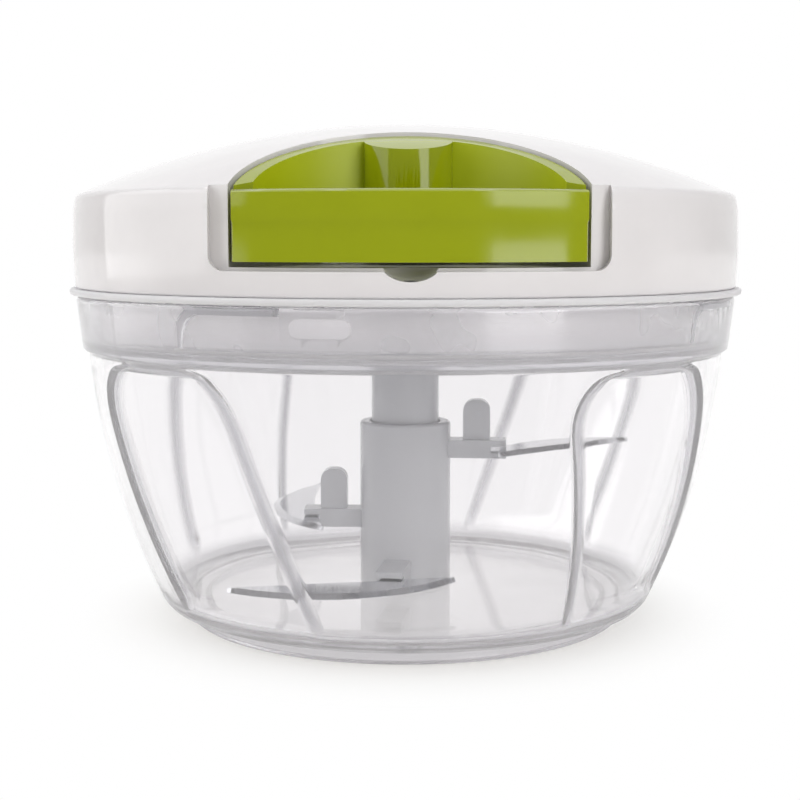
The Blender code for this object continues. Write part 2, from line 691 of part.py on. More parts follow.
def slot_tools(direction, blade_z):
    """Room in an arm for a blade's tongue and, at its forked end, for the blade."""
    half = BLADE_THICKNESS / 2 + SEAT_GAP
    side = TONGUE_WIDTH / 2 + SEAT_GAP
    tongue = box((TONGUE_START - SEAT_GAP, -side, blade_z - half),
                 (ARM_END + PAST, side, blade_z + half))
    fork = box((FORK_START, -ARM_WIDTH, blade_z - half),
               (ARM_END + PAST, ARM_WIDTH, blade_z + half))
    return turned_by(tongue, direction), turned_by(fork, direction)


def make_shaft_sleeve():
    """Moulded sleeve with three blade arms, a socket for the core and a bore for the pin."""
    low = FLOOR_Z + SEAT_GAP
    boss = PIN_BOSS_RADIUS + RUNNING_GAP
    boss_top = FLOOR_Z + PIN_BOSS_HEIGHT + SEAT_GAP
    bore = PIN_RADIUS + SEAT_GAP
    socket = CORE_RADIUS + SEAT_GAP
    socket_z = CORE_SEAT_Z - SEAT_GAP
    profile = [(0, socket_z), (socket, socket_z), (socket, SLEEVE_TOP_Z),
               (SLEEVE_RADIUS, SLEEVE_TOP_Z), (SLEEVE_RADIUS, low), (boss, low),
               (boss, boss_top), (bore, boss_top), (bore, PIN_TOP_Z + SEAT_GAP),
               (0, PIN_TOP_Z + SEAT_GAP)]
    sleeve = turned(profile, MIDDLE_STEPS, closed=False)
    for name, (direction, *_) in BLADES.items():
        join(sleeve, make_arm(direction, BLADE_LEVELS[name], name != "lower"))
    for name, (direction, *_) in BLADES.items():
        cut(sleeve, *slot_tools(direction, BLADE_LEVELS[name]))
    return part(sleeve, "shaft_sleeve", "grey")


def make_shaft_core():
    """Column that carries the two-eared dog up to the lid."""
    profile = [(0, DOG_TOP_Z), (DOG_NECK_RADIUS, DOG_TOP_Z), (DOG_NECK_RADIUS, CORE_TOP_Z),
               (CORE_RADIUS, CORE_TOP_Z), (CORE_RADIUS, CORE_SEAT_Z), (0, CORE_SEAT_Z)]
    core = turned(profile, MIDDLE_STEPS, closed=False)
    ears = box((-DOG_EAR_REACH, -DOG_WIDTH / 2, CORE_TOP_Z - PAST / 2),
               (DOG_EAR_REACH, DOG_WIDTH / 2, DOG_TOP_Z - PAST / 2))
    join(core, ears)
    return part(core, "shaft_core", "grey")


def make_blade(name):
    """Sickle blade: two arcs from heel to tip, with a tongue that the arm grips."""
    direction, *places = BLADES[name]
    heel, edge, tip, back = [polar(BLADE_SPAN * share, angle) for angle, share in places]
    outline = arc_through(heel, edge, tip, 14) + arc_through(tip, back, heel, 14)[1:-1]
    low = BLADE_LEVELS[name] - BLADE_THICKNESS / 2
    blade = flat([outline], low, low + BLADE_THICKNESS)
    tongue = box((TONGUE_START, -TONGUE_WIDTH / 2, low),
                 (ARM_END + TONGUE_INTO_BLADE, TONGUE_WIDTH / 2, low + BLADE_THICKNESS))
    join(blade, turned_by(tongue, direction))
    return part(blade, "blade_" + name, "steel")


def make_seal_ring():
    """Soft ring between the lid's skirt and the bowl's shoulder."""
    low = SHOULDER_Z + SEAT_GAP
    inner = SKIRT_RADIUS - SKIRT_WALL
    outer = COLLAR_INNER_RADIUS - RUNNING_GAP
    high = low + SEAL_HEIGHT
    profile = [(inner, high), (outer, high), (outer, low), (inner, low)]
    return part(turned(profile, FINE_STEPS), "seal_ring", "rubber")


def make_lid_base():
    """Frosted plate under the lid, with the flange, the skirt and the bayonet lugs."""
    skirt_inner = SKIRT_RADIUS - SKIRT_WALL
    sleeve = PLATE_HOLE_RADIUS + HUB_SLEEVE_WALL
    sleeve_z = FLANGE_Z - HUB_SLEEVE_DROP
    edge = FLANGE_THICKNESS / 4
    profile = [
        (PLATE_HOLE_RADIUS, PLATE_TOP_Z), (FLANGE_RADIUS - edge, PLATE_TOP_Z),
        (FLANGE_RADIUS, PLATE_TOP_Z - edge), (FLANGE_RADIUS, FLANGE_Z + edge),
        (FLANGE_RADIUS - edge, FLANGE_Z), (SKIRT_RADIUS, FLANGE_Z),
        (SKIRT_RADIUS, SKIRT_BOTTOM_Z), (skirt_inner, SKIRT_BOTTOM_Z),
        (skirt_inner, FLANGE_Z), (sleeve, FLANGE_Z), (sleeve, sleeve_z),
        (PLATE_HOLE_RADIUS, sleeve_z),
    ]
    base = turned(profile, FINE_STEPS)
    for i in range(TRACK_COUNT):
        turn = i * 360 / TRACK_COUNT
        join(base, ring_sector(SKIRT_RADIUS - SKIRT_WALL / 2, LUG_RADIUS,
                               LUG_TOP_Z - LUG_HEIGHT, LUG_TOP_Z,
                               LUG_START + turn, LUG_END + turn))
    hole = SCREW_RADIUS + SEAT_GAP
    for x, y in cap_screw_places():
        join(base, rod(SCREW_HEAD_RADIUS, FLANGE_Z - CAP_SCREW_LENGTH / 2,
                       FLANGE_Z + FLANGE_THICKNESS / 2, x, y, 16))
        cut(base, rod(hole, cap_screw_tip() - SEAT_GAP, PLATE_TOP_Z + PAST, x, y, 12))
    for x, y in cover_screw_places():
        cut(base, rod(hole, FLANGE_Z - PAST, PLATE_TOP_Z + PAST, x, y, 12))
    return part(base, "lid_base", "frosted")


def cover_screw_places():
    """Where the four screws hold the lid's cover to its base."""
    return [polar(COVER_BOSS_OFFSET, angle) for angle in COVER_BOSS_ANGLES]


def cap_screw_places():
    """Where the three screws hold the mechanism's cap to the lid's base."""
    return [polar(CAP_EAR_OFFSET, angle) for angle in CAP_EAR_ANGLES]


def cap_screw_tip():
    """Lowest point of a cap screw."""
    return LID_BOTTOM_Z + CAP_EAR_HEIGHT + SEAT_GAP - CAP_SCREW_LENGTH


def handle_outline(margin, front_y):
    """Plan of the handle's half-ellipse grown by a margin, carried forward to a line."""
    width = HANDLE_HALF_WIDTH + margin
    squash = (HANDLE_DEPTH + margin) / width
    back = arc(width, 0, 180, 24, (0.0, HANDLE_ARC_Y), squash)
    return back + [(-width, front_y), (width, front_y)]


def lid_outer_profile():
    """Half section of the lid's outside: the dome, its rounded edge and the wall."""
    start = LID_TOP_RADIUS - LID_EDGE_FILLET
    dome = [(start * i / 5, dome_z(start * i / 5)) for i in range(6)]
    rim = dome_z(start) - LID_EDGE_FILLET
    edge = [(start + x, rim + z) for x, z in arc(LID_EDGE_FILLET, LID_EDGE_ANGLE, 0, 2)]
    return dome + edge


def make_lid_cover():
    """White domed cover with the handle's pocket, its recessed frame and screw bosses."""
    lid = turned(lid_outer_profile() + [(LID_RADIUS, LID_BOTTOM_Z), (0, LID_BOTTOM_Z)],
                 FINE_STEPS, closed=False)
    inner = LID_TOP_RADIUS - LID_WALL
    apex = DOME_APEX_Z - LID_WALL
    below = LID_BOTTOM_Z - PAST
    cavity = turned([(inner * i / 4, dome_z(inner * i / 4, apex)) for i in range(5)]
                    + [(LID_RADIUS - LID_WALL, below), (0, below)], FINE_STEPS, closed=False)
    wall = POCKET_GAP + POCKET_WALL
    cut(cavity, flat([handle_outline(wall, -LID_RADIUS - PAST)],
                     POCKET_FLOOR_Z - POCKET_WALL, HIGH_Z))
    for x, y in cover_screw_places():
        cut(cavity, rod(COVER_BOSS_RADIUS, LID_BOTTOM_Z, HIGH_Z, x, y, 16))
    cut(lid, cavity)
    cut(lid, flat([handle_outline(POCKET_GAP, FRONT_Y)], POCKET_FLOOR_Z, HIGH_Z))
    cut(lid, notch_tool())
    cut(lid, thumb_tool())
    cut(lid, rod_along_y(GUIDE_RADIUS + SEAT_GAP, POCKET_BACK_Y - PAST,
                         POCKET_OUTER_BACK_Y + PAST, 0, CORD_Z))
    for x, y in cover_screw_places():
        top = FLANGE_Z + COVER_SCREW_LENGTH
        cut(lid, rod(SCREW_RADIUS + SEAT_GAP, LID_BOTTOM_Z - PAST, top, x, y, 12))
    return part(lid, "lid_cover", "white")


def notch_tool():
    """Cuts the lid's front back to a slightly smaller radius round the pocket's mouth."""
    radius = LID_TOP_RADIUS - NOTCH_SETBACK
    half = math.degrees(math.asin(NOTCH_HALF_WIDTH / radius))
    outline = arc(radius, -90 - half, -90 + half, 16)
    outline += [(NOTCH_HALF_WIDTH, FRONT_Y), (-NOTCH_HALF_WIDTH, FRONT_Y)]
    return flat([outline], NOTCH_LEDGE_Z, HIGH_Z)


def thumb_tool():
    """Cuts the scoop for a fingertip in the ledge under the handle."""
    bpy.ops.mesh.primitive_uv_sphere_add(segments=20, ring_count=10, radius=1.0)
    scoop = bpy.context.object
    scoop.scale = (THUMB_WIDTH / 2, THUMB_LENGTH / 2, THUMB_DEPTH + POCKET_GAP)
    scoop.location = (0, -LID_TOP_RADIUS, POCKET_FLOOR_Z + POCKET_GAP)
    bpy.ops.object.transform_apply(location=True, rotation=False, scale=True)
    return scoop


def make_mechanism_cap():
    """Cup over the spool, on three screw ears, with a window for the cord."""
    hole = AXLE_RADIUS + SEAT_GAP
    edge = CAP_WALL / 2
    inner = CAP_RADIUS - CAP_WALL
    profile = [(hole, CAP_TOP_Z), (CAP_RADIUS - edge, CAP_TOP_Z),
               (CAP_RADIUS, CAP_TOP_Z - edge), (CAP_RADIUS, LID_BOTTOM_Z),
               (inner, LID_BOTTOM_Z), (inner, CAP_ROOF_Z), (hole, CAP_ROOF_Z)]
    cap = turned(profile, MIDDLE_STEPS)
    for x, y in cap_screw_places():
        ear_top = LID_BOTTOM_Z + CAP_EAR_HEIGHT
        join(cap, rod(CAP_EAR_RADIUS, LID_BOTTOM_Z, ear_top, x, y, 20))
        cut(cap, rod(SCREW_RADIUS + SEAT_GAP, LID_BOTTOM_Z - PAST, ear_top + PAST, x, y, 12))
    half = SPOOL_GROOVE / 2
    cut(cap, box((-CAP_WINDOW_LEFT, -CAP_RADIUS - PAST, CORD_Z - half),
                 (CAP_WINDOW_RIGHT, -CAP_RADIUS + CAP_WINDOW_DEPTH, CORD_Z + half)))
    return part(cap, "mechanism_cap", "black")


def make_drive_hub():
    """Hub with the dog's socket below the plate and the ratchet's ring above it."""
    bore = AXLE_RADIUS + RUNNING_GAP
    socket_top = HUB_BOTTOM_Z + HUB_SOCKET_DEPTH
    rim = RATCHET_OUTER_RADIUS + HUB_RIM_STEP
    profile = [(0, HUB_BORE_Z), (bore, HUB_BORE_Z), (bore, RATCHET_Z),
               (rim, RATCHET_Z), (rim, HUB_FLANGE_Z),
               (HUB_RADIUS, HUB_FLANGE_Z), (HUB_RADIUS, HUB_BOTTOM_Z),
               (HUB_SOCKET_RADIUS, HUB_BOTTOM_Z), (HUB_SOCKET_RADIUS, socket_top),
               (0, socket_top)]
    hub = turned(profile, MIDDLE_STEPS, closed=False)
    teeth = []
    pitch = 360 / RATCHET_TEETH
    face = PAWL_TIP_ANGLE + PAWL_FACE_GAP
    for i in range(RATCHET_TEETH):
        teeth.append(polar(RATCHET_TIP_RADIUS, face + i * pitch))
        teeth.append(polar((RATCHET_TIP_RADIUS + RATCHET_ROOT_RADIUS) / 2,
                           face + (i + 0.5) * pitch))
        teeth.append(polar(RATCHET_ROOT_RADIUS, face + (i + 1) * pitch))
    outside = arc(RATCHET_OUTER_RADIUS, 0, 360, MIDDLE_STEPS)[:-1]
    join(hub, flat([outside, teeth], RATCHET_Z - HUB_FLANGE / 4, RATCHET_TOP_Z))
    for side in (1, -1):
        near, far = sorted((side * HUB_KEY_REACH, side * (HUB_SOCKET_RADIUS + PAST)))
        join(hub, box((-HUB_KEY_WIDTH / 2, near, HUB_BOTTOM_Z),
                      (HUB_KEY_WIDTH / 2, far, socket_top + PAST / 2)))
    return part(hub, "drive_hub", "grey")


def make_thrust_washer():
    """Slip ring between the plate and the drive hub."""
    inner = HUB_RADIUS + RUNNING_GAP
    outer = inner + WASHER_WIDTH
    top = WASHER_Z + WASHER_HEIGHT
    profile = [(inner, top), (outer, top), (outer, WASHER_Z), (inner, WASHER_Z)]
    return part(turned(profile, SMALL_STEPS), "thrust_washer", "white")


def make_cord_spool():
    """Spool with the cord's groove, the spring's cavity and two pawl pivots."""
    hole = AXLE_RADIUS + RUNNING_GAP
    profile = [
        (hole, GROOVE_Z), (SPOOL_CAVITY_RADIUS, GROOVE_Z), (SPOOL_CAVITY_RADIUS, SPOOL_TOP_Z),
        (SPOOL_FLANGE_RADIUS, SPOOL_TOP_Z), (SPOOL_FLANGE_RADIUS, SPOOL_TOP_Z - SPOOL_FLANGE),
        (SPOOL_CORE_RADIUS, SPOOL_TOP_Z - SPOOL_FLANGE), (SPOOL_CORE_RADIUS, GROOVE_Z),
        (SPOOL_FLANGE_RADIUS, GROOVE_Z), (SPOOL_FLANGE_RADIUS, SPOOL_BOTTOM_Z),
        (hole, SPOOL_BOTTOM_Z),
    ]
    spool = turned(profile, MIDDLE_STEPS)
    for i in range(PAWL_COUNT):
        x, y = polar(PAWL_PIVOT, i * 360 / PAWL_COUNT)
        join(spool, rod(PAWL_PIVOT_RADIUS, RATCHET_Z + RUNNING_GAP,
                        SPOOL_BOTTOM_Z + SPOOL_FLANGE / 2, x, y, 12))
    return part(spool, "cord_spool", "white")


def make_wound_cord():
    """Cord on the spool's core, one layer of turns side by side."""
    inner = SPOOL_CORE_RADIUS + SEAT_GAP
    room = SPOOL_GROOVE - 2 * SEAT_GAP
    turns = int(room / (2 * CORD_RADIUS))
    top = CORD_Z + turns * CORD_RADIUS
    profile = [(inner, top)]
    for i in range(turns):
        middle = top - (2 * i + 1) * CORD_RADIUS
        for degrees in (50, 0, -50):
            out, up = polar(CORD_RADIUS, degrees)
            profile.append((WOUND_RADIUS - CORD_RADIUS + out, middle + up))
    profile.append((inner, top - 2 * turns * CORD_RADIUS))
    return part(turned(profile, SMALL_STEPS), "wound_cord", "cord")


def make_pawl(index):
    """Pawl that hooks the ratchet's teeth when the cord is pulled."""
    tip = polar(PAWL_TIP_RADIUS, PAWL_TIP_ANGLE)
    dx, dy = tip[0] - PAWL_PIVOT, tip[1]
    length = math.hypot(dx, dy)
    along = math.degrees(math.atan2(dy, dx))
    eye = arc(PAWL_EYE_RADIUS, along + PAWL_EYE_START, along + 360 - PAWL_EYE_START, 12)
    side = PAWL_TIP_WIDTH / 2
    ahead = (dx / length, dy / length)
    outline = eye + [(dx + side * ahead[1], dy - side * ahead[0]),
                     (dx - side * ahead[1], dy + side * ahead[0])]
    hole = arc(PAWL_PIVOT_RADIUS + SEAT_GAP, 0, 360, 12)[:-1]
    turn = index * 360 / PAWL_COUNT
    pawl = flat([outline, hole], 0, RATCHET_HEIGHT - RUNNING_GAP)
    turned_by(pawl, turn)
    x, y = polar(PAWL_PIVOT, turn)
    pawl.location = (x, y, RATCHET_Z + RUNNING_GAP)
    return part(pawl, "pawl_%d" % (index + 1), "steel")


def make_recoil_spring():
    """Flat spiral spring that winds the cord back in."""
    inner = AXLE_RADIUS + SEAT_GAP + SPRING_THICKNESS / 2
    outer = SPOOL_CAVITY_RADIUS - SEAT_GAP - SPRING_THICKNESS / 2
    count = SPRING_TURNS * 12
    low = GROOVE_Z + RUNNING_GAP
    mesh = bpy.data.meshes.new("spring")
    points = []
    for i in range(count + 1):
        x, y = polar(inner + (outer - inner) * i / count, 360 * SPRING_TURNS * i / count)
        points += [(x, y, low), (x, y, low + SPRING_HEIGHT)]
    faces = [(2 * i, 2 * i + 2, 2 * i + 3, 2 * i + 1) for i in range(count)]
    mesh.from_pydata(points, [], faces)
    spring = mesh_object(mesh)
    shell = spring.modifiers.new("strip", "SOLIDIFY")
    shell.thickness = SPRING_THICKNESS
    shell.offset = 0
    return part(spring, "recoil_spring", "steel")


def make_spring_cover():
    """Disc that keeps the spring in the spool."""
    low = SPOOL_TOP_Z + SEAT_GAP
    hole = AXLE_RADIUS + RUNNING_GAP
    profile = [(hole, low + SPRING_COVER), (SPOOL_CORE_RADIUS, low + SPRING_COVER),
               (SPOOL_CORE_RADIUS, low), (hole, low)]
    return part(turned(profile, SMALL_STEPS), "spring_cover", "black")


def make_spool_axle():
    """Headed steel axle through the cap, the spring, the spool and the hub."""
    low = HUB_BORE_Z + SEAT_GAP
    head = CAP_TOP_Z + SEAT_GAP
    top = head + AXLE_HEAD_HEIGHT
    lip = AXLE_RADIUS + AXLE_HEAD_LIP
    profile = [(0, top), (lip, top), (lip, head),
               (AXLE_RADIUS, head), (AXLE_RADIUS, low), (0, low)]
    return part(turned(profile, SMALL_STEPS, closed=False), "spool_axle", "steel")


def make_cord_guide():
    """Flanged bush in the pocket's back wall that the cord runs through."""
    inner_end = POCKET_OUTER_BACK_Y + SEAT_GAP + GUIDE_FLANGE
    length = inner_end - POCKET_BACK_Y
    profile = [(GUIDE_BORE, length), (GUIDE_RADIUS, length), (GUIDE_RADIUS, GUIDE_FLANGE),
               (GUIDE_FLANGE_RADIUS, GUIDE_FLANGE), (GUIDE_FLANGE_RADIUS, 0),
               (GUIDE_BORE, 0)]
    guide = turned(profile, SMALL_STEPS)
    guide.location = (0, inner_end, CORD_Z)
    guide.rotation_euler = (math.pi / 2, 0, 0)
    return part(guide, "cord_guide", "grey")


def make_screw(name, low, high, head_low, place):
    """Round-headed screw that stands upright, its head at the top or the bottom."""
    middle = head_low + SCREW_HEAD_HEIGHT
    if head_low > low:
        profile = [(0, middle), (SCREW_HEAD_RADIUS, middle), (SCREW_HEAD_RADIUS, head_low),
                   (SCREW_RADIUS, head_low), (SCREW_RADIUS, low), (0, low)]
    else:
        profile = [(0, high), (SCREW_RADIUS, high), (SCREW_RADIUS, middle),
                   (SCREW_HEAD_RADIUS, middle), (SCREW_HEAD_RADIUS, head_low), (0, head_low)]
    screw = turned(profile, SCREW_STEPS, closed=False)
    screw.location = (*place, 0)
    return part(screw, name, "steel")


def make_screws():
    """Four screws up into the cover's bosses and three down through the cap's ears."""
    for i, place in enumerate(cover_screw_places()):
        head_low = FLANGE_Z - SEAT_GAP - SCREW_HEAD_HEIGHT
        tip = FLANGE_Z - SEAT_GAP + COVER_SCREW_LENGTH
        make_screw("cover_screw_%d" % (i + 1), head_low, tip, head_low, place)
    for i, place in enumerate(cap_screw_places()):
        tip = cap_screw_tip()
        head_low = tip + CAP_SCREW_LENGTH
        make_screw("cap_screw_%d" % (i + 1), tip, head_low, head_low, place)


def make_handle_grip():
    """Green D-shaped pull: a flush front bar, an arched back wall and the cord's anchor."""
    front_half = math.degrees(math.asin(HANDLE_HALF_WIDTH / HANDLE_FRONT_RADIUS))
    squash = HANDLE_DEPTH / HANDLE_HALF_WIDTH
    back = arc(HANDLE_HALF_WIDTH, 0, 180, 24, (0.0, HANDLE_ARC_Y), squash)
    front = arc(HANDLE_FRONT_RADIUS, -90 - front_half, -90 + front_half, 12)
    grip = flat([back[:-1] + front[:-1]], HANDLE_BOTTOM_Z, DOME_APEX_Z)
    limit = HANDLE_FRONT_RADIUS + 4 * PAST
    apex = DOME_APEX_Z - HANDLE_DOME_DROP
    dome = [(limit * i / 8, dome_z(limit * i / 8, apex)) for i in range(9)]
    low = HANDLE_BOTTOM_Z - PAST
    boolean(grip, turned(dome + [(limit, low), (0, low)], FINE_STEPS, closed=False), "INTERSECT")
    bar_back = -HANDLE_FRONT_RADIUS + HANDLE_BAR_THICKNESS
    cut(grip, box((-limit, -limit - PAST, HANDLE_BAR_TOP_Z),
                  (limit, bar_back + HANDLE_WALL / 4, HIGH_Z)))
    width = HANDLE_HALF_WIDTH - HANDLE_WALL
    depth = HANDLE_DEPTH - HANDLE_WALL
    start = math.degrees(math.asin((bar_back - HANDLE_ARC_Y) / depth))
    hole = flat([arc(width, start, 180 - start, 26, (0.0, HANDLE_ARC_Y), depth / width)],
                low, HIGH_Z)
    anchor_y = HANDLE_BACK_Y - ANCHOR_OVERLAP
    cut(hole, rod(ANCHOR_RADIUS, low - PAST, HIGH_Z + PAST, 0, anchor_y, 32))
    cut(grip, hole)
    inner = HANDLE_FRONT_RADIUS - HANDLE_STEP_DEPTH
    cut(grip, ring_sector(inner, limit, low, HANDLE_STEP_Z, -HANDLE_STEP_ANGLE,
                          HANDLE_STEP_ANGLE))
    knot_room = KNOT_RADIUS + SEAT_GAP
    cut(grip, rod_along_y(knot_room, anchor_y - ANCHOR_RADIUS - PAST,
                          KNOT_Y + knot_room, 0, CORD_Z),
        rod_along_y(GUIDE_BORE, KNOT_Y, HANDLE_BACK_Y + PAST, 0, CORD_Z))
    return part(grip, "handle_grip", "green")


def make_cord_knot():
    """Knot that the handle pulls on."""
    bpy.ops.mesh.primitive_uv_sphere_add(segments=10, ring_count=6, radius=KNOT_RADIUS,
                                         location=(0, KNOT_Y, CORD_Z))
    return part(bpy.context.object, "cord_knot", "cord")


def make_cord(name, points):
    """A short run of cord through the given points."""
    curve = bpy.data.curves.new(name, "CURVE")
    curve.dimensions = "3D"
    curve.bevel_depth = CORD_RADIUS
    curve.bevel_resolution = 2
    curve.use_fill_caps = True
    spline = curve.splines.new("POLY")
    spline.points.add(len(points) - 1)
    for point, (x, y, z) in zip(spline.points, points):
        point.co = (x, y, z, 1)
    obj = bpy.data.objects.new(name, curve)
    bpy.context.scene.collection.objects.link(obj)
    return part(obj, name, "cord")


def cord_lead_points(guide_y):
    """Route from the spool's outer turn to the guide: tangent at one end, square at the other."""
    lean = math.degrees(math.acos(CORD_LINE_RADIUS / -guide_y))
    x0, y0 = polar(CORD_LINE_RADIUS, -90 - lean)
    x1, y1 = 0.0, guide_y
    reach = math.hypot(x1 - x0, y1 - y0)
    out_x, out_y = (x1 - x0), (y1 - y0)
    points = []
    for i in range(13):
        t = i / 12
        a = 2 * t ** 3 - 3 * t ** 2 + 1
        b = t ** 3 - 2 * t ** 2 + t
        c = -2 * t ** 3 + 3 * t ** 2
        d = t ** 3 - t ** 2
        points.append((a * x0 + b * out_x + c * x1,
                       a * y0 + b * out_y + c * y1 - d * reach * 0.7, CORD_Z))
    return points


def make_cord_runs():
    """The cord's two short runs: spool to guide, and guide to knot."""
    guide_end = POCKET_OUTER_BACK_Y + SEAT_GAP + GUIDE_FLANGE
    make_cord("cord_lead", cord_lead_points(guide_end + SEAT_GAP))
    end = KNOT_Y + KNOT_RADIUS + SEAT_GAP
    count = 5
    points = [(0, guide_end + (end - guide_end) * i / count, CORD_Z) for i in range(count + 1)]
    make_cord("cord_tail", points)


def main():
    """Build every piece."""
    make_bowl()
    make_bowl_pin()
    make_shaft_sleeve()
    make_shaft_core()
    for name in BLADES:
        make_blade(name)
    make_seal_ring()
    make_lid_base()
    make_lid_cover()
    make_mechanism_cap()
    make_drive_hub()
    make_thrust_washer()
    make_cord_spool()
    make_wound_cord()
    for index in range(PAWL_COUNT):
        make_pawl(index)
    make_recoil_spring()
    make_spring_cover()
    make_spool_axle()
    make_cord_guide()
    make_screws()
    make_handle_grip()
    make_cord_knot()
    make_cord_runs()


main()
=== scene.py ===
# %% [markdown]
# # A pull-cord food chopper
#
# The imported CAD model gives every piece its size and place. This script dresses it: camera
# and studio first, then one finish for each real material, then the pieces whose surface
# shows finer than a CAD solid. We start by loading the model.

# %% Load the model
import math

import bmesh
import bpy
from mathutils import Matrix, Vector


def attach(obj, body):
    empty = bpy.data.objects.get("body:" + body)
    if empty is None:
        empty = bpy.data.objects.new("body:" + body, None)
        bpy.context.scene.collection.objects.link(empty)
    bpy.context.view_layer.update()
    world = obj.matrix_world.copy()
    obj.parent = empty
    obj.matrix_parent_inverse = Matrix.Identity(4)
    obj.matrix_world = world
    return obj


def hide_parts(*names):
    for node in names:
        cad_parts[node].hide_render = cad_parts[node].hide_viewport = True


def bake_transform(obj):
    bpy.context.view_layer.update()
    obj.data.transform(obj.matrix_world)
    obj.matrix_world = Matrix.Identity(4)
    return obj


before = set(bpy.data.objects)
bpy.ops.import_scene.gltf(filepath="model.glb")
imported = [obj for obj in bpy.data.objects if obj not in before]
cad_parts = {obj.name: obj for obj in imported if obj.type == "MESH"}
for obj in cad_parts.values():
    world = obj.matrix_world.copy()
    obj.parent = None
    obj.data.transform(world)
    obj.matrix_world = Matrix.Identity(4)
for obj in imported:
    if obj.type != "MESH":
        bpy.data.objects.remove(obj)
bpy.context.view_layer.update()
MM = 0.001
print("nodes:", len(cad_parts))

# %% [markdown]
# ## Camera
#
# The photograph was taken from the height of the lid and looks slightly down, close enough
# that the front of the bowl looks larger than its back. We could guess an angle by eye, but
# the foot, the lid's edge and the flange each give an ellipse, and their flatness gives the
# height and distance.

# %% Camera
VIEW_DISTANCE = 299 * MM
VIEW_HEIGHT = 76 * MM
VIEW_SIDE = -4 * MM
VIEW_PITCH = 6.4
VIEW_YAW = -0.56
LENS = 66.6

camera_data = bpy.data.cameras.new("camera")
camera_data.lens = LENS
camera_data.clip_start = 0.01
camera = bpy.data.objects.new("camera", camera_data)
camera.location = (VIEW_SIDE, -VIEW_DISTANCE, VIEW_HEIGHT)
camera.rotation_euler = (math.radians(90 - VIEW_PITCH), 0, math.radians(VIEW_YAW))
bpy.context.scene.collection.objects.link(camera)
bpy.context.scene.camera = camera
bpy.context.scene.view_settings.view_transform = "Standard"
print("camera at", [round(v, 3) for v in camera.location])

# %% [markdown]
# ## Colours and nodes
#
# Hex values are what a colour picker shows, but Blender's sockets want linear light. One
# function converts them. A second adds a node with its settings and links in one call, which
# keeps each material short enough to read.

# %% Helpers for materials


def linear(hex_colour):
    """An sRGB hex colour as linear RGBA."""
    values = [int(hex_colour[i:i + 2], 16) / 255 for i in (1, 3, 5)]
    return (*[v / 12.92 if v <= 0.04045 else ((v + 0.055) / 1.055) ** 2.4 for v in values], 1.0)


def add(tree, kind, settings=None, links=None):
    """Add a node. Settings name a property or a socket, links name a socket and its source.

    A source that is a node stands for its first output.
    """
    node = tree.nodes.new("ShaderNode" + kind)
    for name, value in (settings or {}).items():
        if isinstance(name, str) and hasattr(node, name):
            setattr(node, name, value)
        else:
            node.inputs[name].default_value = value
    for name, source in (links or {}).items():
        tree.links.new(getattr(source, "outputs", [source])[0], node.inputs[name])
    return node


def new_material(name):
    """An empty node material with its output."""
    material = bpy.data.materials.new(name)
    material.use_nodes = True
    material.node_tree.nodes.clear()
    return material, material.node_tree, add(material.node_tree, "OutputMaterial")


# %% [markdown]
# ## Studio
#
# A white sweep with a large softbox on each side and one above: the set of a shop picture.
# The floor takes the object's shadow near it and turns into plain white further out, so no
# horizon shows. The sweep is white where it is seen straight or through the bowl. The room
# in front of the set is dim, so a gloss surface shows the softboxes and little else.

# %% Floor
FLOOR_SIZE = 6.0
SHADOW_START = 0.030
SHADOW_END = 0.068
SHADOW_LEAST = 0.25
THROUGH_LEVEL = 0.72
FRONT_LEVEL = 0.22


def ray_kinds(tree):
    """Rays that see a surface straight or through glass, rays through glass, and mirrored rays."""
    path = add(tree, "LightPath").outputs
    seen = add(tree, "Math", {"operation": "MAXIMUM"},
               {0: path["Is Camera Ray"], 1: path["Is Transmission Ray"]})
    mirror = add(tree, "Math", {"operation": "MULTIPLY"},
                 {0: path["Is Glossy Ray"], 1: path["Is Reflection Ray"]})
    return seen, path["Is Transmission Ray"], mirror


bpy.ops.mesh.primitive_grid_add(x_subdivisions=8, y_subdivisions=8, size=FLOOR_SIZE)
floor = bpy.context.object
floor.name = "floor"
floor.location.z = -0.0002
paper, tree, output = new_material("white_paper_sweep")
place = add(tree, "TexCoord").outputs["Object"]
seen, refracted, mirror = ray_kinds(tree)
distance = add(tree, "VectorMath", {"operation": "LENGTH"}, {0: place})
fade = add(tree, "MapRange", {"interpolation_type": "SMOOTHSTEP", "From Min": SHADOW_START,
                              "From Max": SHADOW_END, "To Min": SHADOW_LEAST},
           {"Value": distance.outputs["Value"]})
depth = add(tree, "SeparateXYZ", None, {0: place})
behind = add(tree, "MapRange", {"From Min": -0.2, "From Max": 0.1, "To Min": FRONT_LEVEL},
             {"Value": depth.outputs["Y"]})
strength = add(tree, "Math", {"operation": "MAXIMUM"}, {0: seen, 1: behind})
glow = add(tree, "Emission", {"Color": (1, 1, 1, 1)}, {"Strength": strength})
through = add(tree, "Math", {"operation": "MULTIPLY", 1: THROUGH_LEVEL}, {0: refracted})
lifted = add(tree, "Math", {"operation": "MAXIMUM"}, {0: fade, 1: through})
direct = add(tree, "Math", {"operation": "MULTIPLY"}, {0: lifted, 1: seen})
share = add(tree, "Math", {"operation": "MAXIMUM"}, {0: direct, 1: mirror})
matt = add(tree, "BsdfDiffuse", {"Color": linear("#FCFAF6")})
mixed = add(tree, "MixShader", None, {0: share, 1: matt, 2: glow})
tree.links.new(mixed.outputs["Shader"], output.inputs["Surface"])
floor.data.materials.append(paper)
print("floor", FLOOR_SIZE, "m")

# %% Light paths
# Light zigzags many times inside a clear wall, and would go black after the usual 4 times
BOUNCES = 20

bpy.context.scene.cycles.glossy_bounces = BOUNCES
bpy.context.scene.cycles.max_bounces = BOUNCES
print("bounces", BOUNCES)

# %% World
ROOM_LEVEL = 0.25

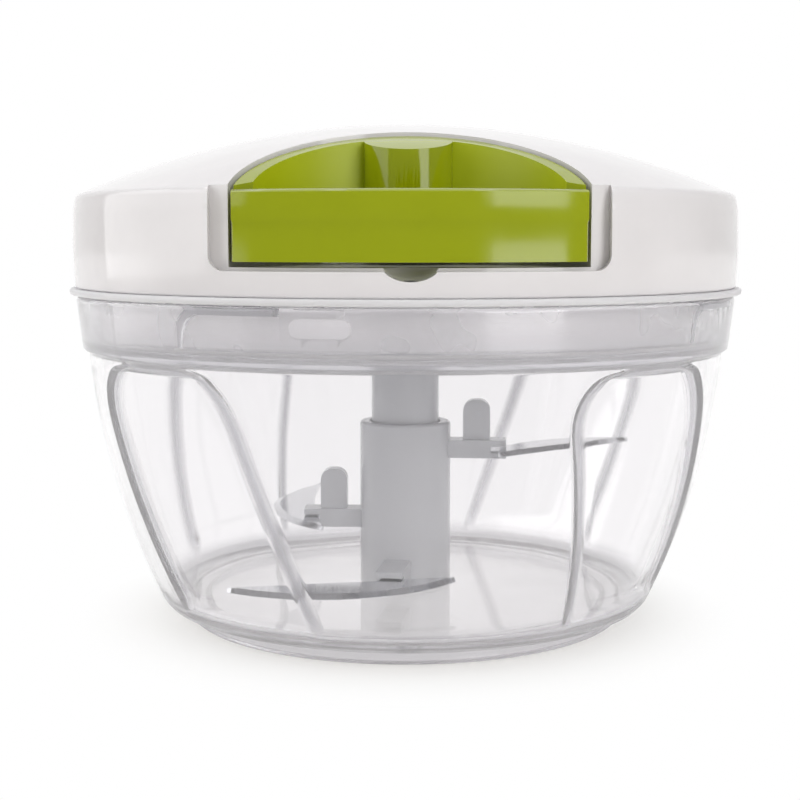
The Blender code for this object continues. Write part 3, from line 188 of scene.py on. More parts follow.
world = bpy.data.worlds.new("studio")
bpy.context.scene.world = world
world.use_nodes = True
tree = world.node_tree
tree.nodes.clear()
depth = add(tree, "SeparateXYZ", None, {0: add(tree, "TexCoord").outputs["Generated"]})
behind = add(tree, "MapRange", {"From Min": 0.5, "From Max": 0.95, "To Min": FRONT_LEVEL},
             {"Value": depth.outputs["Y"]})
seen, _, mirror = ray_kinds(tree)
mirrored = add(tree, "Math", {"operation": "MULTIPLY"}, {0: mirror, 1: behind})
shown = add(tree, "Math", {"operation": "MAXIMUM"}, {0: seen, 1: mirrored})
level = add(tree, "Math", {"operation": "MAXIMUM", 1: ROOM_LEVEL}, {0: shown})
sky = add(tree, "Background", {"Color": (1, 1, 1, 1)}, {"Strength": level})
add(tree, "OutputWorld", None, {"Surface": sky})
print("room level", ROOM_LEVEL)

# %% Softboxes


def softbox(name, turn, distance, height, size, power):
    """A soft lamp that faces the object, this many degrees to the right of the camera."""
    data = bpy.data.lights.new(name, "AREA")
    data.shape = "RECTANGLE"
    data.size, data.size_y = size
    data.energy = power
    obj = bpy.data.objects.new(name, data)
    angle = math.radians(turn)
    obj.location = (distance * math.sin(angle), -distance * math.cos(angle), height)
    aim = Vector((0, 0, 0.05)) - obj.location
    obj.rotation_euler = aim.to_track_quat("-Z", "Y").to_euler()
    bpy.context.scene.collection.objects.link(obj)


softbox("softbox_left", -85, 0.9, 0.42, (1.3, 1.0), 5.6)
softbox("softbox_right", 38.5, 0.9, 0.36, (0.47, 0.80), 3.9)
softbox("softbox_top", 0, 0.0, 1.0, (1.0, 0.9), 6.2)
print("three softboxes")

# %% [markdown]
# ## Finishes
#
# Each finish is named for what it is made of. Moulded plastic isn't one flat colour: the
# mould's polish varies a little from place to place, and a cooling melt leaves a faint orange
# peel. Both come from noise whose size is given in millimetres.

# %% Moulded plastics
NOISE_SPAN = {"From Min": 0.3, "From Max": 0.7}


def varied(tree, pattern, colour, shades, roughness):
    """A tint and a roughness that one pattern moves between two values each."""
    tone, polish = [add(tree, "MapRange", {**NOISE_SPAN, "To Min": low, "To Max": high},
                        {"Value": pattern}) for low, high in (shades, roughness)]
    tint = add(tree, "VectorMath", {"operation": "SCALE", 0: linear(colour)[:3]}, {"Scale": tone})
    return {"Base Color": tint, "Roughness": polish}


def moulded(name, colour, roughness, spread, peel, patch=9.0, grain=0.9, ior=1.53):
    """A moulded plastic. Patch and grain are sizes in mm, peel is the bump's height in mm."""
    material, tree, output = new_material(name)
    place = add(tree, "TexCoord").outputs["Object"]
    clouds = add(tree, "TexNoise", {"Scale": 1 / (patch * MM), "Detail": 3.0}, {"Vector": place})
    look = varied(tree, clouds, colour, (0.985, 1.015), (roughness - spread, roughness + spread))
    fine = add(tree, "TexNoise", {"Scale": 1 / (grain * MM), "Detail": 2.0}, {"Vector": place})
    bump = add(tree, "Bump", {"Strength": 0.35, "Distance": peel * MM}, {"Height": fine})
    shader = add(tree, "BsdfPrincipled", {"IOR": ior}, {**look, "Normal": bump})
    tree.links.new(shader.outputs["BSDF"], output.inputs["Surface"])
    print("finish", name)
    return material


# Gloss ABS takes a mirror polish from the mould, so its highlights are small and soft-edged
white_abs = moulded("white_gloss_abs", "#E2DFE0", 0.09, 0.02, 0.006, grain=2.2)
green_abs = moulded("lime_gloss_abs", "#949F08", 0.11, 0.02, 0.006, grain=2.2)
# Painted light: the satin green inside the handle is lighter than the gloss green outside
lightened_green_satin = moulded("lime_satin_abs_lightened", "#AFBB05", 0.42, 0.05, 0.020)
grey_pp = moulded("grey_satin_polypropylene", "#B4B5B9", 0.13, 0.03, 0.006, ior=1.49)
white_pom = moulded("white_acetal", "#DEDCD6", 0.36, 0.05, 0.010, ior=1.48)
black_abs = moulded("black_matt_abs", "#2A2A2B", 0.48, 0.08, 0.030)
silicone = moulded("clear_silicone", "#C9C9C6", 0.55, 0.08, 0.020, ior=1.42)

# %% [markdown]
# The bowl is clear SAN, a polished see-through plastic. Real glass shaders block lamp light,
# which would leave the blades in the dark, so rays from lamps pass straight through instead.
# The lid's base is natural polypropylene, which is milky: it lets light in and blurs it.

# %% Clear and milky plastics
EDGE_ROUGHNESS = 0.12
# Marked places lose this much clearness: milkiness on the lid's flange, and on the bowl it lets
# the painted shade colour show
EDGE_MILK_AND_SHADE = 0.30


def see_through(name, colour, roughness, ior, wave, wave_height, clear_part, lamp_tint,
                painted_shade_colour):
    """Transparent moulding with flow waves in mm; marked places are rougher, less clear, painted
    shade.
    """
    material, tree, output = new_material(name)
    marked = add(tree, "Attribute", {"attribute_name": "edge"}).outputs["Fac"]
    clear = add(tree, "Math", {"operation": "MULTIPLY_ADD", 1: -EDGE_MILK_AND_SHADE, 2: clear_part},
                {0: marked})
    tint = add(tree, "Mix", {"data_type": "RGBA", 6: linear(colour), 7: linear(painted_shade_colour)},
               {0: marked})
    place = add(tree, "TexCoord").outputs["Object"]
    waves = add(tree, "TexNoise", {"Scale": 1 / (wave * MM), "Detail": 1.0}, {"Vector": place})
    even = add(tree, "MapRange", {**NOISE_SPAN, "To Min": roughness * 0.6,
                                  "To Max": roughness * 1.4}, {"Value": waves})
    polish = add(tree, "Math", {"operation": "MULTIPLY_ADD", 1: EDGE_ROUGHNESS},
                 {0: marked, 2: even})
    bump = add(tree, "Bump", {"Strength": 0.3, "Distance": wave_height * MM}, {"Height": waves})
    shader = add(tree, "BsdfPrincipled", {"IOR": ior},
                 {"Transmission Weight": clear, "Base Color": tint.outputs[2],
                  "Roughness": polish, "Normal": bump})
    lamps_pass = add(tree, "BsdfTransparent", {"Color": linear(lamp_tint)})
    mixed = add(tree, "MixShader", None, {0: add(tree, "LightPath").outputs["Is Shadow Ray"],
                                          1: shader, 2: lamps_pass})
    tree.links.new(mixed.outputs["Shader"], output.inputs["Surface"])
    print("finish", name)
    return material


# The bowl's marked places take the grey #D5D4D9: painted shade at the panels' edges, foot and
# floor, and a plain grey at the collar, its step and the ramps
clear_san = see_through("clear_san", "#FEFDFE", 0.03, 1.57, 14.0, 0.10, 0.98, "#F4F2EF",
                        "#D5D4D9")
milky_pp = see_through("milky_polypropylene", "#F9F8FA", 0.30, 1.49, 9.0, 0.008, 0.66, "#F6F6F7",
                       "#F9F8FA")

# %% [markdown]
# Blade steel is ground after hardening, which leaves fine lines across the blade. Turned and
# rolled steel has rings or a light draw. The cord is braided polyester: two waves that cross.

# %% Metals and cord


def ground_steel(name, colour, roughness, line, stretch):
    """Steel with fine lines. Line is their spacing in mm, stretch draws them out."""
    material, tree, output = new_material(name)
    place = add(tree, "TexCoord").outputs["Object"]
    drawn = add(tree, "Mapping", {"Scale": stretch}, {"Vector": place})
    lines = add(tree, "TexNoise", {"Scale": 1 / (line * MM), "Detail": 4.0}, {"Vector": drawn})
    look = varied(tree, lines, colour, (0.88, 1.05), (roughness * 0.7, roughness * 1.3))
    bump = add(tree, "Bump", {"Strength": 0.3, "Distance": 0.01 * MM}, {"Height": lines})
    shader = add(tree, "BsdfPrincipled", {"Metallic": 1.0}, {**look, "Normal": bump})
    tree.links.new(shader.outputs["BSDF"], output.inputs["Surface"])
    print("finish", name)
    return material


blade_steel = ground_steel("ground_blade_steel", "#D2D2D5", 0.12, 0.5, (1.0, 0.08, 1.0))
zinc_steel = ground_steel("zinc_plated_steel", "#BDBEC0", 0.28, 0.6, (1.0, 1.0, 0.1))
spring_steel = ground_steel("rolled_spring_steel", "#8F9194", 0.25, 0.5, (0.1, 0.1, 1.0))


def braided(name, colour, strand):
    """Braided cord, two sets of strands crossing, each strand this wide in mm."""
    material, tree, output = new_material(name)
    place = add(tree, "TexCoord").outputs["Object"]
    heights = {}
    for i, turn in enumerate((45, -45)):
        laid = add(tree, "Mapping", {"Rotation": (0, 0, math.radians(turn))}, {"Vector": place})
        wave = add(tree, "TexWave", {"Scale": 1 / (strand * MM) / 6.28, "Distortion": 0.4},
                   {"Vector": laid})
        heights[i] = wave.outputs["Fac"]
    both = add(tree, "Math", {"operation": "MULTIPLY"}, heights)
    # Painted shade: the cord is darker where the braid's relief is low, in the grooves between
    # strands
    tone = add(tree, "MapRange", {"To Min": 0.75, "To Max": 1.05}, {"Value": both})
    tint = add(tree, "VectorMath", {"operation": "SCALE", 0: linear(colour)[:3]}, {"Scale": tone})
    bump = add(tree, "Bump", {"Strength": 0.6, "Distance": 0.1 * MM}, {"Height": both})
    shader = add(tree, "BsdfPrincipled", {"Roughness": 0.85, "Sheen Weight": 0.3},
                 {"Base Color": tint, "Normal": bump})
    tree.links.new(shader.outputs["BSDF"], output.inputs["Surface"])
    print("finish", name)
    return material


cord_braid = braided("braided_polyester", "#DEDCD4", 0.5)

# %% [markdown]
# ## Dressing the CAD pieces
#
# Most inner pieces have the right shape already, so they only need their finish.

# %% Finishes for the CAD pieces
DRESS = {
    "bowl": clear_san, "bowl_pin": zinc_steel,
    "shaft_sleeve": grey_pp, "shaft_core": grey_pp,
    "blade_lower": blade_steel, "blade_middle": blade_steel, "blade_upper": blade_steel,
    "seal_ring": silicone, "lid_base": milky_pp, "lid_cover": white_abs,
    "mechanism_cap": black_abs, "spool_axle": zinc_steel, "thrust_washer": white_pom,
    "cord_guide": grey_pp, "cord_lead": cord_braid, "cord_tail": cord_braid,
    "cord_knot": cord_braid, "wound_cord": cord_braid, "cord_spool": white_pom,
    "recoil_spring": spring_steel, "spring_cover": black_abs, "drive_hub": grey_pp,
    "pawl_1": zinc_steel, "pawl_2": zinc_steel, "handle_grip": green_abs,
}
for node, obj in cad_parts.items():
    finish = DRESS.get(node, zinc_steel)
    obj.data.materials.clear()
    obj.data.materials.append(finish)
print("dressed", len(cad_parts), "nodes")

# %% [markdown]
# ## Turned shapes with soft edges
#
# A mould never leaves a knife edge. A profile is written as points with a fillet radius each,
# the corners are rounded in the flat, and the profile is then spun. Rounding the flat profile
# is cheaper and cleaner than a Bevel modifier on the finished ring.

# %% Profile and lathe


def rounded(profile, segments=4):
    """Round the corners of a closed profile of (radius, height, fillet) points, in mm."""
    points = []
    count = len(profile)
    for i, (x, z, fillet) in enumerate(profile):
        here = Vector((x, z))
        before = Vector(profile[i - 1][:2]) - here
        after = Vector(profile[(i + 1) % count][:2]) - here
        if fillet <= 0 or before.length < 1e-6 or after.length < 1e-6:
            points.append(here)
            continue
        half = before.angle(after) / 2
        if half > math.radians(88):
            points.append(here)
            continue
        reach = min(fillet / math.tan(half), before.length * 0.49, after.length * 0.49)
        radius = reach * math.tan(half)
        start, end = here + before.normalized() * reach, here + after.normalized() * reach
        center = here + (before.normalized() + after.normalized()).normalized() \
            * (radius / math.sin(half))
        first, last = start - center, end - center
        sweep = first.angle_signed(last)
        for j in range(segments + 1):
            turn = -sweep * j / segments
            points.append(center + Vector((
                first.x * math.cos(turn) - first.y * math.sin(turn),
                first.x * math.sin(turn) + first.y * math.cos(turn))))
    return [(p.x, p.y) for p in points]


def as_object(name, shape):
    """Make a linked object from a bmesh and free it."""
    mesh = bpy.data.meshes.new(name)
    shape.to_mesh(mesh)
    shape.free()
    obj = bpy.data.objects.new(name, mesh)
    bpy.context.scene.collection.objects.link(obj)
    return obj


def lathe(name, profile, steps):
    """Spin a closed profile in mm about the Z axis. It may touch the axis at its ends."""
    shape = bmesh.new()
    rings = []
    for radius, height in profile:
        if radius < 1e-6:
            rings.append([shape.verts.new((0, 0, height * MM))])
            continue
        rings.append([shape.verts.new((
            radius * math.cos(2 * math.pi * j / steps) * MM,
            radius * math.sin(2 * math.pi * j / steps) * MM, height * MM))
            for j in range(steps)])
    pairs = list(zip(rings, rings[1:]))
    if len(rings[0]) > 1 or len(rings[-1]) > 1:
        pairs.append((rings[-1], rings[0]))
    for a, b in pairs:
        for j in range(steps):
            k = (j + 1) % steps
            corners = [a[j % len(a)], a[k % len(a)], b[k % len(b)], b[j % len(b)]]
            corners = [v for i, v in enumerate(corners) if v not in corners[:i]]
            if len(corners) > 2:
                shape.faces.new(corners)
    bmesh.ops.recalc_face_normals(shape, faces=shape.faces)
    return as_object(name, shape)


def bake(obj):
    """Turn an object's modifiers into its mesh."""
    bpy.context.view_layer.update()
    graph = bpy.context.evaluated_depsgraph_get()
    mesh = bpy.data.meshes.new_from_object(obj.evaluated_get(graph))
    obj.modifiers.clear()
    old, obj.data = obj.data, mesh
    bpy.data.meshes.remove(old)
    return obj


def finish_piece(obj, material, body, slot, *nodes, smooth=32):
    """Shade a new piece, give it its finish and its body, and hide the node it stands for."""
    obj.data.materials.clear()
    obj.data.materials.append(material)
    obj.data.shade_smooth()
    obj.data.set_sharp_from_angle(angle=math.radians(smooth))
    flat = obj.modifiers.new("flat faces stay flat", "WEIGHTED_NORMAL")
    flat.keep_sharp = True
    bake(obj)
    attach(obj, body)
    if nodes:
        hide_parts(*nodes)
    print(obj.name, len(obj.data.polygons), "faces on", body)
    return obj


# %% [markdown]
# ## Bowl
#
# The bowl is one moulding: foot ring, floor with a boss for the pivot pin, a wall that curves
# outwards, and a collar that takes the lid's lugs. Four swirled panels stand back from the
# wall. They could be cut with booleans, but then every edge would be a hard crease. Here the
# wall is a lathe whose columns of points are gathered along the panels' edges, and the points
# between slide inwards on a smooth step, so each edge is a soft moulded ridge.

# %% Bowl sizes
BOWL_WALL = 2.2
WALL_BASE, WALL_MID, WALL_TOP = (49.3, 4.6), (58.4, 29.4), (62.7, 54.2)
PANEL_TOP = 52.8
PANEL_FOOT = 7.0
PANEL_DEPTH = 1.1
CORNER_RISE = 11.0
EDGE_COLUMNS, PANEL_COLUMNS, FIELD_COLUMNS = 8, 16, 22
SECTOR = 2 * EDGE_COLUMNS + PANEL_COLUMNS + FIELD_COLUMNS
LEFT_EDGE = (-1.5, 1.7)
RIGHT_EDGE = (-3.2, 1.0)
COLLAR_HAZE = 0.15
# Painted shade on the bowl's floor and foot, the foot's fading out over this many mm up the wall
FLOOR_SHADE, FOOT_SHADE, FOOT_FADE = 0.5, 0.8, 4.0
STEP_LOW, STEP_HIGH, STEP_HAZE = 53.6, 56.5, 0.8
PIN_HOLE, PIN_BOSS, PIN_BOSS_TOP = 2.3, 4.6, 7.8
FLOOR_TOP, FLOOR_UNDER = 5.2, 2.2
FOOT_INSIDE, FOOT_OUTSIDE, FOOT_SHOULDER = 40.5, 43.7, 3.4
COLLAR_INSIDE, COLLAR_OUTSIDE = 62.5, 64.9
COLLAR_FLOOR, COLLAR_TOP = 55.5, 64.2


def circle_through(a, b, c):
    """Center and radius of the circle through three points."""
    d = 2 * (a[0] * (b[1] - c[1]) + b[0] * (c[1] - a[1]) + c[0] * (a[1] - b[1]))
    a2, b2, c2 = (p[0] ** 2 + p[1] ** 2 for p in (a, b, c))
    x = (a2 * (b[1] - c[1]) + b2 * (c[1] - a[1]) + c2 * (a[1] - b[1])) / d
    y = (a2 * (c[0] - b[0]) + b2 * (a[0] - c[0]) + c2 * (b[0] - a[0])) / d
    return x, y, math.hypot(a[0] - x, a[1] - y)


WALL_CIRCLE = circle_through(WALL_BASE, WALL_MID, WALL_TOP)


def wall_radius(z):
    """Outer radius of the wall at a height, in mm."""
    x, y, radius = WALL_CIRCLE
    return x + math.sqrt(radius * radius - (z - y) ** 2)


def smooth(t):
    """Smooth step from 0 to 1."""
    t = min(max(t, 0.0), 1.0)
    return t * t * (3 - 2 * t)


def panel_edges(z):
    """Directions of a panel's two edges at a height: swirled, and arched at the top."""
    low = PANEL_TOP - CORNER_RISE
    t = min(max((z - low) / CORNER_RISE, 0.0), 1.0)
    lean = 1 - math.sqrt(1 - t * t)
    height = min(z, PANEL_TOP)
    return 28 + 0.20 * (low - height) + 11 * lean, 59.3 + 0.28 * (PANEL_TOP - height) - 6 * lean


def column_angle(column, z):
    """Direction of a column of points, gathered at the panels' edges."""
    left, right = panel_edges(z)
    sector, place = divmod(column, SECTOR)
    keys = [(0, left + LEFT_EDGE[0]), (EDGE_COLUMNS, left + LEFT_EDGE[1]),
            (EDGE_COLUMNS + PANEL_COLUMNS, right + RIGHT_EDGE[0]),
            (2 * EDGE_COLUMNS + PANEL_COLUMNS, right + RIGHT_EDGE[1]),
            (SECTOR, left + LEFT_EDGE[0] + 90)]
    for (i, low), (j, high) in zip(keys, keys[1:]):
        if i <= place <= j:
            return low + (high - low) * (place - i) / (j - i) + sector * 90


def ramp(t, ease=0.22):
    """A straight slope from 0 to 1 whose two ends are eased, like a moulded step."""
    t = min(max(t, 0.0), 1.0)
    if t > 0.5:
        return 1 - ramp(1 - t, ease)
    rise = 1 / (1 - ease)
    return rise * t * t / (2 * ease) if t < ease else rise * (t - ease / 2)


def hump(t):
    """0 at both ends of a slope and 1 in its middle."""
    return math.sin(math.pi * min(max(t, 0.0), 1.0))


def panel_shape(column, z):
    """How far a column stands back at a height, in mm, and how much it is on an edge."""
    place = column % SECTOR
    across = min(place / EDGE_COLUMNS,
                 (2 * EDGE_COLUMNS + PANEL_COLUMNS - place) / EDGE_COLUMNS)
    down = (PANEL_TOP + 1.0 - z) / 2.2
    foot = smooth((z - PANEL_FOOT) / (2 * PANEL_DEPTH))
    edge = max(hump(across) * ramp(down), hump(down) * ramp(across)) * foot
    return PANEL_DEPTH * ramp(across) * foot * ramp(down), edge


# %% Bowl mesh


def make_bowl():
    """The bowl as one fine lathe with its panels pushed in."""
    rise = WALL_BASE[1] + BOWL_WALL
    rows = [rise + (PANEL_TOP - 1.6 - rise) * i / 26 for i in range(27)]
    rows += [PANEL_TOP - 1.6 + 0.25 * i for i in range(1, 10)]
    inside = [(wall_radius(z) - BOWL_WALL, z, 0) for z in rows]
    outside = [(wall_radius(z), z, 0) for z in reversed(rows)]
    profile = [
        (0, 3.3, 0), (PIN_HOLE, 3.3, 0), (PIN_HOLE, PIN_BOSS_TOP, 0.3),
        (PIN_BOSS, PIN_BOSS_TOP, 0.6), (PIN_BOSS, FLOOR_TOP, 0.8),
        (43.0, FLOOR_TOP, 2.0), (inside[0][0] - 0.9, 5.9, 2.0),
        *inside,
        (WALL_TOP[0] - BOWL_WALL, COLLAR_FLOOR, 1.2), (COLLAR_INSIDE, COLLAR_FLOOR, 0.9),
        (COLLAR_INSIDE, COLLAR_TOP, 0.5), (COLLAR_OUTSIDE, COLLAR_TOP, 0.7),
        (63.7, 54.0, 0.6), (62.8, 53.8, 0.6),
        *outside,
        (*WALL_BASE, 1.0), (48.2, FOOT_SHOULDER, 0.8), (FOOT_OUTSIDE, FOOT_SHOULDER, 0.6),
        (FOOT_OUTSIDE, 0, 0.6), (FOOT_INSIDE, 0, 0.6), (FOOT_INSIDE, FLOOR_UNDER, 0.8),
        (0, FLOOR_UNDER, 0),
    ]
    steps = SECTOR * 4
    bowl = lathe("bowl_moulding", rounded(profile), steps)
    # The edge mark makes the bowl greyer and less clear where it is set
    mark = bowl.data.attributes.new("edge", "FLOAT", "POINT")
    for vertex in bowl.data.vertices:
        x, y, z = (value / MM for value in vertex.co)
        radius = math.hypot(x, y)
        if radius < 8:
            continue
        column = round(math.degrees(math.atan2(y, x)) % 360 / 360 * steps) % steps
        if z > WALL_TOP[1] and radius > 60:
            mark.data[vertex.index].value = COLLAR_HAZE if z > STEP_HIGH else STEP_HAZE
        elif z < WALL_BASE[1] + 0.1:
            # Painted shade on the bowl's foot and floor
            mark.data[vertex.index].value = FOOT_SHADE if radius > 40 else FLOOR_SHADE
        if WALL_BASE[1] - 0.1 < z < WALL_TOP[1] and radius > 44:
            depth, edge = panel_shape(column, z)
            # Painted shade at the foot, fading out up the wall
            foot_shade = FOOT_SHADE * (1 - smooth((z - WALL_BASE[1]) / FOOT_FADE))
            # Painted shade along the panels' edges, for the grey that refraction gives them; the
            # collar's step takes a plain grey
            mark.data[vertex.index].value = STEP_HAZE if z > STEP_LOW else max(edge, foot_shade)
            radius -= depth
        angle = math.radians(column_angle(column, z) - 90)
        vertex.co = Vector((radius * math.cos(angle), radius * math.sin(angle), z)) * MM
    return bowl


def skin(name, rings, closed=False):
    """Stretch a skin over rings of points in metres, closed to a loop or capped at both ends."""
    shape = bmesh.new()
    rings = [[shape.verts.new(point) for point in ring] for ring in rings]
    count = len(rings[0])
    pairs = list(zip(rings, rings[1:]))
    if closed:
        first = rings[-1][0].co
        shift = min(range(count), key=lambda j: (rings[0][j].co - first).length)
        pairs.append((rings[-1], rings[0][shift:] + rings[0][:shift]))
    for a, b in pairs:
        for j in range(count):
            k = (j + 1) % count
            shape.faces.new((a[j], a[k], b[k], b[j]))
    if not closed:
        shape.faces.new(rings[0])
        shape.faces.new(rings[-1][::-1])
    bmesh.ops.recalc_face_normals(shape, faces=shape.faces)
    return as_object(name, shape)


def loft(name, sections):
    """Join upright sections of (radius, height) points, each ending with its direction."""
    rings = []
    for *points, degrees in sections:
        angle = math.radians(degrees - 90)
        rings.append([(r * math.cos(angle) * MM, r * math.sin(angle) * MM, z * MM)
                      for r, z in points])
    return skin(name, rings)


def boolean(obj, tool, operation):
    """Apply one exact boolean and drop the tool."""
    modifier = obj.modifiers.new("shape", "BOOLEAN")
    modifier.operation = operation
    modifier.solver = "EXACT"
    modifier.object = tool
    bake(obj)
    bpy.data.objects.remove(tool, do_unlink=True)
    return obj


def cut(obj, *tools):
    """Subtract tools one after the other."""
    for tool in tools:
        boolean(obj, tool, "DIFFERENCE")
    return obj


def join(obj, *parts):
    """Join parts to an object one after the other."""
    for part in parts:
        boolean(obj, part, "UNION")
    return obj


TRACK_START, TRACK_END = -39.0, -19.5
STOP_FOOT = 57.0
TRACK_MILK = 2.2


def track_profile(angle):
    """Inner radius, lowest and highest point of the collar's ramp at a direction, in mm."""
    bend = TRACK_START + 4.5
    outside = min(max((bend - angle) / 4.5, 0.0), 1.0)
    inside = min(max((bend - angle) / 3.0, 0.0), 1.0)
    high = STOP_FOOT + 0.4 + 6.7 * math.sqrt(1 - outside ** 2)
    low = STOP_FOOT + 5.8 * math.sqrt(1 - inside ** 2)
    end = min((TRACK_END - angle) / 2.0, 1.0)
    return 62.6 - 1.6 * math.sqrt(1 - (1 - end) ** 2) * (1 - outside), low, high


def make_track(turn, steps=40):
    """One ramp inside the collar: an upright stop that bends over into a level track."""
    sections = []
    for i in range(steps + 1):
        t = i / steps
        angle = TRACK_START + (TRACK_END - TRACK_START) * t * t
        inner, low, high = track_profile(angle)
        sections.append([(inner, low), (63.1, low), (63.1, high), (inner, high), angle + turn])
    return loft("track", sections)


bowl = join(make_bowl(), *[make_track(90 * i) for i in range(4)])
for vertex in bowl.data.vertices:
    x, y, z = (value / MM for value in vertex.co)
    if z > STOP_FOOT - 0.1 and math.hypot(x, y) < COLLAR_INSIDE - 0.2:
        bowl.data.attributes["edge"].data[vertex.index].value = TRACK_MILK
finish_piece(bowl, clear_san, "bowl", "clear_bowl", "bowl", smooth=40)

# %% [markdown]
# ## Flat outlines
#
# The handle, its pocket and the notch round it are all flat outlines raised to a thickness.
# Blender could make them from curves, but the outlines are short formulas, so a small function
# that raises a loop of points is quicker and gives exact sizes.

# %% Raised outlines


def arc(radius, start, end, count, center=(0.0, 0.0), squash=1.0):
    """Points along an arc in mm."""
    points = []
    for i in range(count + 1):
        angle = math.radians(start + (end - start) * i / count)
        points.append((center[0] + radius * math.cos(angle),
                       center[1] + radius * math.sin(angle) * squash))
    return points


def raised(name, outline, low, high):
    """A prism over an outline, in mm."""
    shape = bmesh.new()
    bottom = [shape.verts.new((x * MM, y * MM, low * MM)) for x, y in outline]
    top = [shape.verts.new((x * MM, y * MM, high * MM)) for x, y in outline]
    count = len(outline)
    for i in range(count):
        j = (i + 1) % count
        shape.faces.new((bottom[i], bottom[j], top[j], top[i]))
    shape.faces.new(top)
    shape.faces.new(bottom[::-1])
    bmesh.ops.recalc_face_normals(shape, faces=shape.faces)
    return as_object(name, shape)


def softened(obj, width, segments=3, angle=32):
    """Merge the flat facets that booleans leave, then round every sharp edge a little."""
    shape = bmesh.new()
    shape.from_mesh(obj.data)
    bmesh.ops.remove_doubles(shape, verts=shape.verts, dist=0.01 * MM)
    bmesh.ops.dissolve_limit(shape, angle_limit=math.radians(1.0), verts=shape.verts,
                             edges=shape.edges, delimit={"SHARP"})
    shape.to_mesh(obj.data)
    shape.free()
    bevel = obj.modifiers.new("edge", "BEVEL")
    bevel.width = width * MM
    bevel.segments = segments
    bevel.limit_method = "ANGLE"
    bevel.angle_limit = math.radians(angle)
    bevel.harden_normals = True
    return bake(obj)


# %% [markdown]
# ## Lid cover
#
# The cover is a shell of white ABS with a shallow dome, a softly rounded rim and a D-shaped
# pocket for the handle. It is turned, hollowed and cut as the CAD solid is, with finer steps,
# and then its edges are rounded, because a gloss moulding shows a thin highlight on each one.

# %% Lid sizes and tools
DOME_APEX = 97.3
DOME_RADIUS = 150.0
LID_BOTTOM = 65.75
LID_RADIUS = 65.3
LID_TOP_RADIUS = 64.6
LID_WALL = 2.2
HANDLE_HALF = 29.0
HANDLE_DEPTH = 25.84
HANDLE_ARC_Y = -57.84
CORD_Z = 77.0
COVER_SCREW_RADIUS, COVER_SCREW_ANGLES = 53.0, (40, 140, 200, 340)
CAP_SCREW_RADIUS, CAP_SCREW_ANGLES = 29.0, (90, 210, 330)
SCREW_HOLE = 1.5
NOTCH_HALF, NOTCH_FLOOR, NOTCH_CORNER = 33.0, 70.0, 2.6
POCKET_FLOOR = 70.6
SCOOP_SIZE, SCOOP_Z = (4.8, 7.0, 3.0), 71.4
BEFORE_LID, ABOVE_LID = -71, 110


def block(name, x, y, z):
    """A block from its three ranges, in mm."""
    return raised(name, [(x[0], y[0]), (x[1], y[0]), (x[1], y[1]), (x[0], y[1])], *z)


def rod(name, radius, low, high, x=0.0, y=0.0, sides=40):
    """An upright cylinder as a cutting tool, in mm."""
    return raised(name, arc(radius, 0, 360 - 360 / sides, sides - 1, (x, y)), low, high)


def rod_along_y(name, radius, low, high, z, sides=40):
    """A level cylinder along Y as a cutting tool, in mm."""
    obj = raised(name, arc(radius, 0, 360 - 360 / sides, sides - 1), -high, -low)
    obj.data.transform(Matrix.Translation((0, 0, z * MM)) @ Matrix.Rotation(math.pi / 2, 4, "X"))
    return obj


def dome_z(radius, apex=DOME_APEX):
    """Height of the dome at a distance from the axis, in mm."""
    return apex - radius * radius / (2 * DOME_RADIUS)


def turned_points(radius, angles):
    """Places in plan at one distance from the axis."""
    return [(radius * math.cos(math.radians(a)), radius * math.sin(math.radians(a)))
            for a in angles]


def handle_outline(margin, front, count=72):
    """Plan of the handle's half ellipse, grown and carried forward to a line."""
    width = HANDLE_HALF + margin
    back = arc(width, 0, 180, count, (0.0, HANDLE_ARC_Y), (HANDLE_DEPTH + margin) / width)
    return back + [(-width, front), (width, front)]


